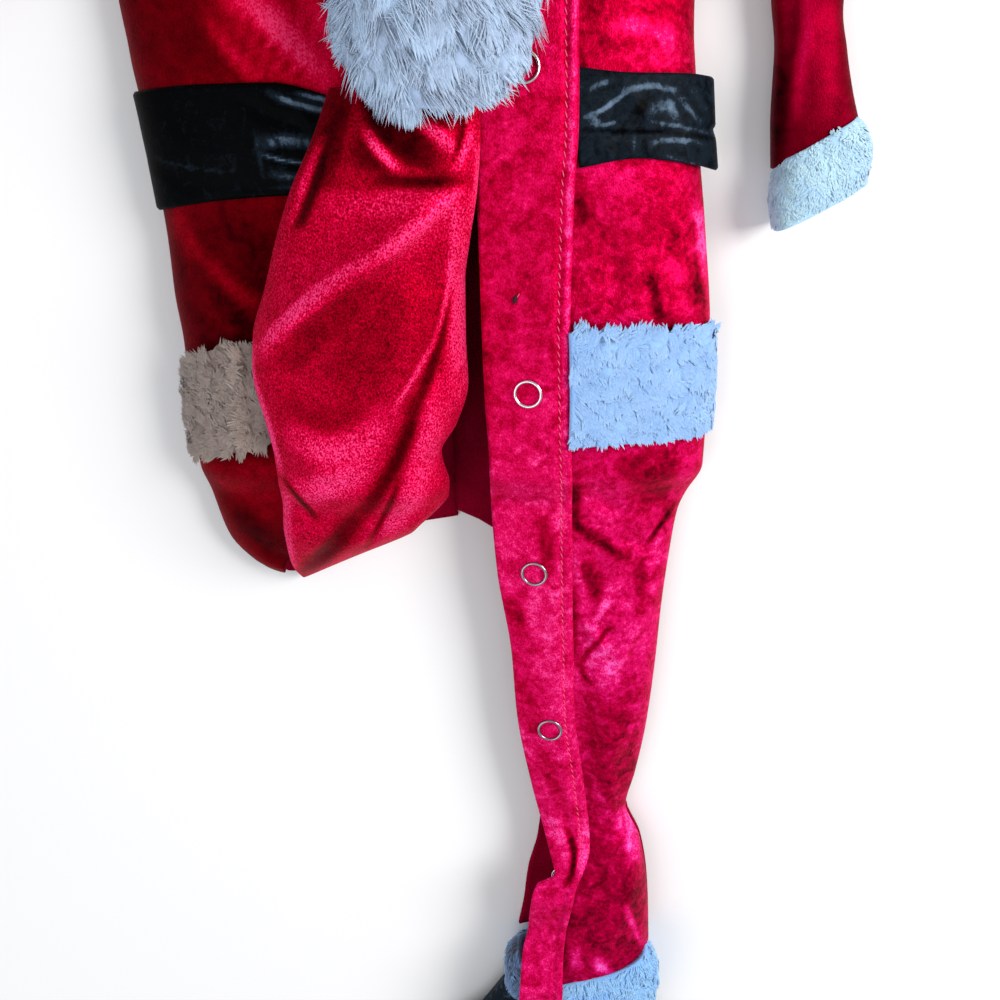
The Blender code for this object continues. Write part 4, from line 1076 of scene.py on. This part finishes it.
def pile(
    name, surface, count, length, width, upright, flow, seed, material, tuft, curl, shade_streaks=()
):
    """Pile in flat tapered locks rooted on surface(a, b). The locks of a tuft lean together, along
    flow(x, y) and upright by that share, and draw in towards the tip of their tuft. Streaks are
    lines where the pile is deeper in colour."""
    rng = np.random.default_rng(seed)
    # Where the locks are rooted, spread evenly over the surface, and which way is outwards.
    a, b = rng.random(count * 2), rng.random(count * 2)
    step = 0.004
    east = np.column_stack(surface(np.minimum(a + step, 1), b))
    west = np.column_stack(surface(np.maximum(a - step, 0), b))
    north = np.column_stack(surface(a, np.minimum(b + step, 1)))
    south = np.column_stack(surface(a, np.maximum(b - step, 0)))
    facing = np.cross(east - west, north - south)
    size = np.linalg.norm(facing, axis=1)
    chosen = rng.choice(len(a), count, replace=False, p=size / size.sum())
    a, b, facing = a[chosen], b[chosen], facing[chosen] / size[chosen][:, None]
    root = np.column_stack(surface(a, b))
    outwards = (facing * (root - root.mean(0))).sum(1).mean() + 40 * facing[:, 2].mean()
    facing *= np.sign(outwards)
    # The tuft that each lock belongs to, the way that it lies, and where it ends.
    number = max(count // tuft, 2)
    centre = root[:number]
    apart = (root**2).sum(1)[:, None] + (centre**2).sum(1)[None] - 2 * root @ centre.T
    own = apart.argmin(1)
    lean = np.zeros((number, 3))
    lean[:, 0], lean[:, 1] = flow(centre[:, 0], centre[:, 1])
    lean += rng.normal(0, curl, lean.shape)
    tall = rng.uniform(0.75, 1.15, number)
    ahead = lean[own] + rng.normal(0, curl / 3, (count, 3))
    ahead -= facing * (ahead * facing).sum(1)[:, None]
    ahead /= np.linalg.norm(ahead, axis=1)[:, None]
    ahead += facing * upright
    ahead /= np.linalg.norm(ahead, axis=1)[:, None]
    reach = length * tall[own] * rng.uniform(0.7, 1.1, count)
    tip = root + ahead * reach[:, None]
    meet = centre[own] + ahead * reach[:, None]
    tip += (meet - tip) * rng.uniform(0.1, 0.5, count)[:, None]
    bend = rng.normal(0, 0.12, (number, 3))[own] * reach[:, None]
    elbow = (root + tip) / 2 + facing * reach[:, None] * 0.08 + bend
    # One lock: a three-sided cone, with one more ring at its middle.
    lock = bmesh.new()
    bmesh.ops.create_cone(lock, cap_ends=True, segments=3, radius1=1, radius2=0.0, depth=1)
    bmesh.ops.remove_doubles(lock, verts=lock.verts, dist=0.001)
    geometry = lock.verts[:] + lock.edges[:] + lock.faces[:]
    bmesh.ops.bisect_plane(lock, geom=geometry, plane_co=(0, 0, 0), plane_no=(0, 0, 1))
    lock.verts.ensure_lookup_table()
    form = np.array([vert.co for vert in lock.verts])
    faces = [[vert.index for vert in face.verts] for face in lock.faces]
    lock.free()
    # That lock bent from root to tip, for each place.
    t = form[:, 2] + 0.5
    around = np.arctan2(form[:, 1], form[:, 0])
    profile = np.select([t > 0.99, t > 0.3], [0.0, 1.0], 0.7)
    offset = np.column_stack((np.cos(around), np.sin(around))) * profile[:, None] * width / 2
    root = root - facing * ROOT_DEPTH
    along = t[None, :, None]
    curve = (1 - along) ** 2 * root[:, None] + 2 * along * (1 - along) * elbow[:, None]
    curve += along**2 * tip[:, None]
    side = np.cross(facing, ahead)
    side /= np.linalg.norm(side, axis=1)[:, None]
    curve += side[:, None] * offset[None, :, :1] + facing[:, None] * offset[None, :, 1:] * 0.4
    curve[..., 2] = np.maximum(curve[..., 2], 0.1)
    points = curve.reshape(-1, 3) * MM
    each = len(form)
    polygons = []
    for face in faces:
        polygons += (np.array(face)[None] + each * np.arange(count)[:, None]).tolist()
    mesh = bpy.data.meshes.new(name)
    mesh.from_pydata(points.tolist(), [], polygons)
    # Painted shade: a lock is darker at its root than its tip. Each tuft has its own tone.
    shade = 0.4 + 0.16 * t[None] + rng.uniform(-0.05, 0.05, number)[own][:, None]
    shade = shade + rng.uniform(-0.02, 0.02, count)[:, None]
    # Painted shade along the streaks.
    if shade_streaks:
        shade = shade + painted(0.0, shade_streaks)(root[:, 0], root[:, 1])[:, None]
    lane = np.cos(around) * profile * width * 5 + rng.uniform(0, 6, count)[:, None]
    for label, values in (("nap_and_shade", shade), ("lane", lane)):
        layer = mesh.attributes.new(label, "FLOAT", "POINT")
        layer.data.foreach_set("value", np.broadcast_to(values, (count, each)).astype("f").ravel())
    mesh.shade_smooth()
    soft = facing[:, None] + side[:, None] * (np.cos(around) * 0.5)[None, :, None]
    soft /= np.linalg.norm(soft, axis=2)[..., None]
    mesh.normals_split_custom_set_from_vertices(soft.reshape(-1, 3).tolist())
    obj = add_piece(name, mesh, material)
    return obj


def inside(surface, low_a, high_a, low_b, high_b):
    """The part of a surface on which pile is rooted, so that its tips end at the outline."""
    return lambda a, b: surface(low_a + (high_a - low_a) * a, low_b + (high_b - low_b) * b)


def trim_depth(x, flat):
    """Plush trim is thinner at the side, and pressed flat under the folded leg."""
    depth = TRIM_MIDDLE + (TRIM_SIDE - TRIM_MIDDLE) * flat**4
    pressed = np.where(x < 0, np.clip((x - PRESSED_X) / PRESSED_FADE, 0.0, 1.0), 0.0)
    return depth + (PRESSED - depth) * pressed


trim_left_top = applied(TRIM_LEFT_FRONT, left_section, True, trim_depth, lift=0.6)
trim_left = slab(
    "hip_trim_left_base", 60, 44,
    furrowed(inside(trim_left_top, 0.0, 0.97, 0.01, 0.97), depth=0.8, size=9, seed=3),
    inside(
        applied(TRIM_LEFT_FRONT, left_section, True, trim_depth, lift=0.0), 0.0, 0.97, 0.01, 0.97
    ),
    plush_blue, painted(0.42, ()),
)
trim_left_pile = pile(
    "hip_trim_left_pile", inside(trim_left_top, 0.008, 0.96, 0.07, 0.985),
    count=7000, length=5.0, width=1.3, upright=0.12,
    flow=lambda x, y: (0.3, np.where(y > 78, 0.5, -0.8)),
    seed=11, material=plush_blue, tuft=35, curl=0.35,
)
trim_right_top = applied(TRIM_RIGHT_FRONT, right_section, False, trim_depth, lift=0.6)
trim_right = slab(
    "hip_trim_right_base", 50, 50,
    furrowed(inside(trim_right_top, 0.05, 1.0, 0.08, 0.94), depth=1.0, size=7, seed=5),
    inside(
        applied(TRIM_RIGHT_FRONT, right_section, False, trim_depth, lift=0.0), 0.05, 1.0, 0.08, 0.94
    ),
    plush_in_shade, painted(0.36, ()),
)
trim_right_pile = pile(
    "hip_trim_right_pile", inside(trim_right_top, 0.07, 0.98, 0.08, 0.92),
    count=6500, length=5.5, width=1.2, upright=0.16,
    flow=lambda x, y: (-0.35, np.where(y < 44, -0.7, 0.7)),
    seed=12, material=plush_in_shade, tuft=30, curl=0.6,
)
trim_back = slab(
    "hip_trim_back_base", 60, 16, flat_band(*TRIM_BACK, TRIM_BACK_THICK - 0.6),
    lambda a, b: (*flat_band(*TRIM_BACK, 0.0)(a, b)[:2], 0.0 * a), plush_blue,
)
for piece, node in ((trim_left, "trim_left"), (trim_right, "trim_right"), (trim_back, "trim_back")):
    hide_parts(node)

# ---------------------------------------------------------------- beard
# A bib of the longest plush hangs from the neck as a beard, over the ankle of the folded leg. Its
# pile runs down and to the left in flat curling locks, and ends in ragged tips.

BEARD = [
    (150.5, -25, -18, 15), (152, -33, -9, 15), (156, -41, 0, 15), (164, -49, 9.5, 15),
    (175, -53, 14, 15), (190, -55, 16, 15), (230, -59, 15, 14), (262, -62, 13, 11),
    (310, -62, 10, 3),
]
BEARD_X = -19.5
BEARD_HALF = 37.0
BEARD_CLEAR = 5.2
BEARD_BACKING = 2.0
BEARD_PILE = 13.0
beard_span = smooth(BEARD)


def beard_points(share_out, side_inset, tip_inset):
    """Places the beard, its backing at 0 and the tips of its pile at 1, drawn in at the rim."""
    tip, neck = BEARD[0][0] + tip_inset, BEARD[-1][0]

    def place(a, b):
        y = tip + (neck - tip) * b**1.7
        left, right, lift = beard_span(np.maximum(y - tip_inset / 2, BEARD[0][0]))
        drawn = np.minimum(side_inset, (right - left) * 0.3)
        x = left + drawn + (right - left - 2 * drawn) * a
        out = np.abs(2 * a - 1)
        raised = lift * (1 - np.minimum(1.0, np.abs(x - BEARD_X) / BEARD_HALF) ** 4) ** 0.5
        z = front_height(x, y, left_section) + BEARD_CLEAR + raised
        thinned = np.minimum(1.0, (y - tip) / 25 + 0.25)
        depth = BEARD_BACKING + BEARD_PILE * (1 - out**3) ** 0.5 * thinned
        return x, below_top(x, y, NECK_DROP_FRONT), z + share_out * depth

    return place


beard = slab(
    "beard_base", 56, 84,
    furrowed(beard_points(0.6, 3.0, 4.5), depth=1.6, size=11, seed=8), beard_points(0.0, 3.0, 4.5),
    plush_beard, painted(0.4, ()),
)
beard_root = beard_points(0.62, 5.0, 9.0)
# Painted shade: grey streaks in the beard, deepest and widest at its left side.
BEARD_SHADE_STREAKS = [
    (-58, 196, -54, 178, -47, 166, 8, 6, -0.3), (-46, 214, -38, 190, -28, 172, 2.2, 2.2, -0.2),
    (-34, 218, -27, 196, -20, 180, 2, 2, -0.16), (-24, 210, -16, 192, -8, 176, 2.5, 2.5, -0.14),
    (-30, 176, -24, 168, -20, 160, 2, 2, -0.12), (0, 206, 4, 190, 5, 176, 2.5, 2.5, -0.1),
]


def beard_flow(x, y):
    """The locks fall from the neck towards the wearer's left, and turn out at the other side."""
    outer = x < BEARD_X - 24
    return np.where(outer, -0.9, 0.25 + (x - BEARD_X) / 70), np.where(outer, -0.5, -1.0)


# Name, where its roots start and end from tip to neck, locks, length, width, how upright, seed,
# locks in a tuft and how much they curl.
beard_tip_pile, beard_neck_pile, beard_wisps = (
    pile(
        name, inside(beard_root, 0.0, 1.0, low, high), count, length, width, upright, beard_flow,
        seed, plush_beard, tuft, curl, BEARD_SHADE_STREAKS,
    )
    for name, low, high, count, length, width, upright, seed, tuft, curl in (
        ("beard_tip_pile", 0.0, 0.62, 11500, 10.5, 1.5, 0.08, 21, 90, 0.2),
        ("beard_neck_pile", 0.6, 1.0, 3500, 11.0, 1.8, 0.08, 22, 50, 0.25),
        ("beard_wisps", 0.0, 0.5, 2500, 11.0, 0.4, 0.22, 23, 14, 0.4),
    )
)
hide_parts("beard")

# ---------------------------------------------------------------- sleeves
# Long sleeves of the same velvet taper to the wrist and end in cuffs of white plush. The left one
# hangs beside the body, the right one lies out to the side.

FUR = 5.0
CUFF_SINK = 1.2
CUFF_HEEL = 0.3
SLEEVE_LEFT = [
    (66, 228, 58.6, 304, 0, 15), (73, 220, 80, 298, 0, 17), (80, 209, 99, 280, 0, 18),
    (86, 200, 110, 252, 0, 18), (89, 194, 113, 220, 0, 17), (90, 187, 113, 188, 0, 16),
    (92.5, 172, 116, 173, 0, 16), (93, 154, 119.5, 160, 0, 17), (94.8, 135, 122.5, 151.8, 0, 17),
]
SLEEVE_CUFF_LEFT = [
    (94.2, 136.6, 123.8, 153.6, 0, 20.5), (94, 124, 128.5, 141, 0, 22),
    (96.5, 113.5, 128, 131, 0, 21),
]
SLEEVE_RIGHT = [
    (-130, 228, -122.6, 304, 0, 15), (-141, 222, -140, 297, 0, 17), (-156, 212, -166, 277, 0, 18),
    (-172, 200, -188, 252, 0, 18), (-190, 185, -209, 229, 0, 17), (-207, 170, -228, 208, 0, 16),
    (-222, 156, -245, 191, 0, 16), (-234, 144, -258, 177, 0, 17),
]
SLEEVE_CUFF_RIGHT = [
    (-233.2, 142, -260, 177.6, 0, 21), (-241, 134.5, -268, 169.5, 0, 22),
    (-250, 128, -274.5, 161, 0, 21),
]
SLEEVE_CREASES = [
    (100, 258, 97, 220, 101, 190, 5, 4, -1.6), (108, 244, 106, 210, 108, 186, 3, 4, 1.2),
    (96, 200, 95, 180, 98, 160, 3, 4, -1.4), (103, 190, 101, 176, 104, 166, 3, 3, 1.0),
    (-150, 270, -172, 240, -196, 214, 6, 6, -1.5), (-160, 232, -186, 212, -214, 186, 5, 5, 1.3),
    (-136, 290, -146, 262, -150, 236, 5, 5, -1.2), (-200, 214, -222, 196, -244, 182, 4, 4, -0.9),
]
# Painted light and shade on the sleeves, with the lie of their nap, along their creases.
SLEEVE_NAP_AND_SHADING = [
    (100, 196, 100, 176, 98, 152, 3, 3, 0.5), (95, 184, 95, 154, 96, 130, 3, 3, 0.04),
    (104, 200, 107, 178, 110, 150, 4, 4, 0.32), (94, 196, 94, 182, 94, 170, 3, 3, 0.2),
    (-150, 270, -172, 240, -196, 214, 5, 5, 0.12), (-160, 236, -186, 214, -214, 188, 4, 4, 0.75),
]


def tube_points(
    rungs, closed_end=False, base=None, bow=0.0, skew=0.0, start_closed=False, creases=()
):
    """Places a sleeve, cuff or boot, lofted through rungs. Each is a flattened ring between two
    points on the floor: inner x and y, outer x and y, underside, height."""
    keyed = smooth([(i / (len(rungs) - 1), *rung) for i, rung in enumerate(rungs)])

    def place(a, b):
        near_x, near_y, far_x, far_y, floor, height = keyed(b)
        c, s = np.cos(2 * np.pi * a), np.sin(2 * np.pi * a)
        run = np.sign(c) * np.abs(c) ** 0.85 / 2
        mid_x, mid_y = (near_x + far_x) / 2, (near_y + far_y) / 2
        x, y = mid_x + (far_x - near_x) * run, mid_y + (far_y - near_y) * run
        z = floor + height / 2 * (1 + np.sign(s) * np.abs(s) ** 0.75)
        shut = (closed_end & (b > 0.999)) | (start_closed & (b < 0.001))
        x, y = np.where(shut, mid_x, x), np.where(shut, mid_y, y)
        z = np.where(shut, floor + height / 2, z)
        if base:
            z = z + base(x, y)
        y = np.where(shut, y, y - (bow - skew * c) * (1 - b) * np.maximum(s, 0.0))
        return x, y, z + relief(x, y, creases) * np.clip(s, 0, 1)

    return place


sleeve_left, sleeve_right = (
    cloth(
        name, 48, 80, tube_points(rungs, creases=SLEEVE_CREASES), VELVET, velvet_sleeve,
        velvet_inside, painted(lie_and_shade, SLEEVE_NAP_AND_SHADING), closed=True,
    )
    for name, rungs, lie_and_shade in (
        ("left_sleeve", SLEEVE_LEFT, 0.2),
        ("right_sleeve", SLEEVE_RIGHT, 0.26),
    )
)
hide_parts("sleeve_left")
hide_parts("sleeve_right")

# The wrist cuffs' copy of the white plush, tinted with painted cool light.
plush_bright = plush_material(
    "plush_bright", (0.2, 0.3, 0.4), (0.36, 0.58, 0.84), (0.6, 0.9, 1.0), 12
)


def fur_cuff(
    name, node, rungs, strands, length, flow, seed, material, wall, start_in, shade_streaks=(), **form
):
    """A cuff of plush: a furrowed ring of backing cloth, drawn in where it is sewn on, with its
    pile on it."""
    place = tube_points(rungs, **form)

    def drawn(a, b):
        x, y, z = place(a, b)
        ax, ay, az = place(a + 0.5, b)
        span = np.sqrt((x - ax) ** 2 + (y - ay) ** 2 + (z - az) ** 2)
        draw = CUFF_SINK + start_in * np.clip(1 - b / CUFF_HEEL, 0, 1) ** 2
        draw = draw / np.maximum(span, 1e-6)
        return x + (ax - x) * draw, y + (ay - y) * draw, z + (az - z) * draw

    base = cloth(
        name + "_base", 64, 24, drawn, wall, material, None,
        lambda x, y: 0.42 + painted(0.0, shade_streaks)(x, y), closed=True,
    )
    root = inside(drawn, 0.0, 1.0, 0.0, 0.9)
    strand = pile(
        name + "_pile", root, strands, length, width=1.0, upright=0.3, flow=flow, seed=seed,
        material=material, tuft=25, curl=0.35, shade_streaks=shade_streaks,
    )
    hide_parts(node)
    return base, strand


cuff_left, cuff_right = (
    fur_cuff(
        name, node, rungs, strands=5500, length=2.4, flow=flow, seed=seed,
        material=plush_bright, wall=FUR - 2, start_in=1.6,
    )
    for name, node, rungs, flow, seed in (
        ("left_wrist_cuff", "sleeve_cuff_left", SLEEVE_CUFF_LEFT, lambda x, y: (0.2, -0.9), 31),
        ("right_wrist_cuff", "sleeve_cuff_right", SLEEVE_CUFF_RIGHT, lambda x, y: (-0.7, -0.6), 32),
    )
)

# ---------------------------------------------------------------- ankles and boots
# Each leg ends in a plush cuff and a soft black leatherette boot sewn on below it. The left boot
# lies on its side with its toe inwards. The right cuff and boot lie flat under the beard.

ANKLE_CUFF_LEFT = [
    (3, -212.5, 74.5, -212.5, 0, 34), (2.4, -222, 75.5, -228, 0, 34.5),
    (2, -228, 74.5, -246, 0, 34), (2.2, -233.5, 73.5, -259, 0, 32),
]
BOOT_LEFT = [
    (2, -237, 71, -262, 1, 27), (-6, -251, 73, -277, 0, 27), (-13, -261, 69, -297, 0, 26),
    (-22, -270, 52, -309, 0, 24), (-31, -278, 22, -313, 0, 21), (-40, -285, -10, -313, 0, 17),
    (-46, -293, -30, -309, 1, 12),
]
ANKLE_CUFF_RIGHT = [
    (-48, 163.5, -10.5, 163.5, 1.2, 10), (-47.5, 182, -10.5, 182, 1.2, 11),
    (-46.5, 200, -11, 200, 1.2, 11),
]
BOOT_RIGHT = [
    (-46, 203, -12, 203, 1.2, 9.5), (-47, 226, -13, 224, 1.2, 9.5), (-46, 246, -16, 242, 1.2, 8.5),
    (-41, 260, -22, 257, 1.2, 6),
]
BOOT_CREASES = [
    (10, -266, 20, -280, 18, -300, 3, 3, -1.0), (40, -266, 44, -284, 36, -304, 3, 4, -1.0),
    (-20, -284, -8, -292, -4, -306, 3, 3, -0.8), (60, -268, 62, -280, 56, -296, 3, 3, 0.8),
    (28, -268, 32, -284, 26, -306, 3, 3, 0.8),
]
# The left ankle's copy of the white plush, with painted bluer light, and a neutral deep stop for
# the painted grey shade beside the band.
plush_sky = plush_material(
    "plush_sky", (0.1, 0.085, 0.08), (0.22, 0.46, 0.92), (0.34, 0.66, 1.0), 10
)
# Its streak paints grey shade on its inner side, beside the band.
ankle_left = fur_cuff(
    "left_ankle_cuff", "ankle_cuff_left", ANKLE_CUFF_LEFT, strands=9000, length=4.5,
    flow=lambda x, y: (0.1, -0.9), seed=41, material=plush_sky, wall=FUR - 2, start_in=4.6,
    shade_streaks=[(8, -206, 5, -224, 4, -246, 10, 9, -0.36)], bow=ANKLE_BOW, skew=ANKLE_SKEW,
)
ankle_right = fur_cuff(
    "right_ankle_cuff", "ankle_cuff_right", ANKLE_CUFF_RIGHT, strands=1500, length=4.0,
    flow=lambda x, y: (0.1, 0.9), seed=42, material=plush_in_shade, wall=0.0, start_in=0.5,
    base=on_front, closed_end=True, start_closed=True,
)
boot_left = cloth(
    "left_boot", 60, 60, tube_points(BOOT_LEFT, closed_end=True, creases=BOOT_CREASES),
    LEATHERETTE, leatherette, closed=True,
)
boot_right = cloth(
    "right_boot", 48, 30,
    tube_points(BOOT_RIGHT, closed_end=True, base=on_front, start_closed=True),
    0.0, leatherette, closed=True,
)
for piece, node in ((boot_left, "boot_left"), (boot_right, "boot_right")):
    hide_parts(node)

# ---------------------------------------------------------------- neck
# The neck is bound with a rolled strip of the same velvet, over the front edge and under the
# back one.

BINDING_RADIUS = 2.2
BINDING_SIDE_Z = 8.0


def binding_points(a, b):
    """Places the binding: a round section a, swept along the neck b."""
    clear = BINDING_RADIUS + SEWN_CLEAR

    def middle(b):
        turn = 2 * np.pi * b
        inwards = np.abs(np.sin(turn))
        x = NECK_X + (NECK_HALF - clear) * np.cos(turn)
        in_front = turn < np.pi
        y = SHOULDER_TOP - (np.where(in_front, NECK_DROP_FRONT, NECK_DROP_BACK) - clear) * inwards
        high = front_height(x, y, left_section)
        front_z = BINDING_SIDE_Z + (high - BINDING_SIDE_Z) * inwards
        back_z = BINDING_SIDE_Z + (BINDING_RADIUS - BINDING_SIDE_Z) * np.minimum(1.0, 2 * inwards)
        return np.column_stack((x, y, np.where(in_front, front_z, back_z)))

    here = middle(b)
    ahead = middle((b + 0.002) % 1) - middle((b - 0.002) % 1)
    ahead /= np.linalg.norm(ahead, axis=1)[:, None]
    side = np.cross(ahead, (0, 0, 1))
    side /= np.linalg.norm(side, axis=1)[:, None]
    up = np.cross(side, ahead)
    turn = 2 * np.pi * a[:, None]
    points = here + (side * np.cos(turn) + up * np.sin(turn)) * BINDING_RADIUS
    return points[:, 0], points[:, 1], np.maximum(points[:, 2], 0.05)


binding = cloth("neck_binding_roll", 14, 160, binding_points, 0.0, velvet, closed=True)
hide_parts("neck_binding")

# ---------------------------------------------------------------- floor, light and camera
# A plain pale floor, a soft window lamp at the wearer's left, a weaker lamp to fill from the other
# side, and a camera over the beard, tipped towards the feet.

floor_shape = bmesh.new()
bmesh.ops.create_grid(floor_shape, x_segments=1, y_segments=1, size=3.0)
floor_mesh = bpy.data.meshes.new("floor")
floor_shape.to_mesh(floor_mesh)
floor_shape.free()
floor = bpy.data.objects.new("floor", floor_mesh)
bpy.context.scene.collection.objects.link(floor)
floor_mesh.materials.append(
    clouded("pale_floor", 0.9, 300, 0.2, (0.86,) * 3, (0.9,) * 3, stops=(0.0, 1.0))
)


def lamp(name, place, size, power, colour):
    """A square soft lamp, aimed at the suit's waist."""
    light = bpy.data.lights.new(name, "AREA")
    light.shape = "SQUARE"
    light.size = size
    light.energy = power
    light.color = colour
    obj = bpy.data.objects.new(name, light)
    obj.location = place
    obj.rotation_euler = (-obj.location).to_track_quat("-Z", "Y").to_euler()
    bpy.context.scene.collection.objects.link(obj)


lamp("window", (1.0, 0.45, 0.85), size=0.7, power=19, colour=(1.0, 0.98, 0.97))
lamp("fill", (-0.9, -0.5, 1.2), size=1.2, power=8, colour=(0.95, 0.97, 1.0))
world = bpy.data.worlds.new("studio")
world.use_nodes = True
background = world.node_tree.nodes["Background"]
background.inputs["Color"].default_value = (0.95, 0.97, 1.0, 1)
background.inputs["Strength"].default_value = 0.5
bpy.context.scene.world = world
bpy.context.scene.view_settings.view_transform = "Standard"

# In metres and degrees.
CAMERA_PLACE = (0.0, 0.158514521, 0.376)
CAMERA_TILT = 22.0
camera_data = bpy.data.cameras.new("camera")
camera_data.sensor_width = 36.0
camera_data.lens = 36.0
camera_data.clip_start = 0.01
camera = bpy.data.objects.new("camera", camera_data)
camera.location = CAMERA_PLACE
camera.rotation_euler = (-np.radians(CAMERA_TILT), 0, 0)
bpy.context.scene.collection.objects.link(camera)
bpy.context.scene.camera = camera
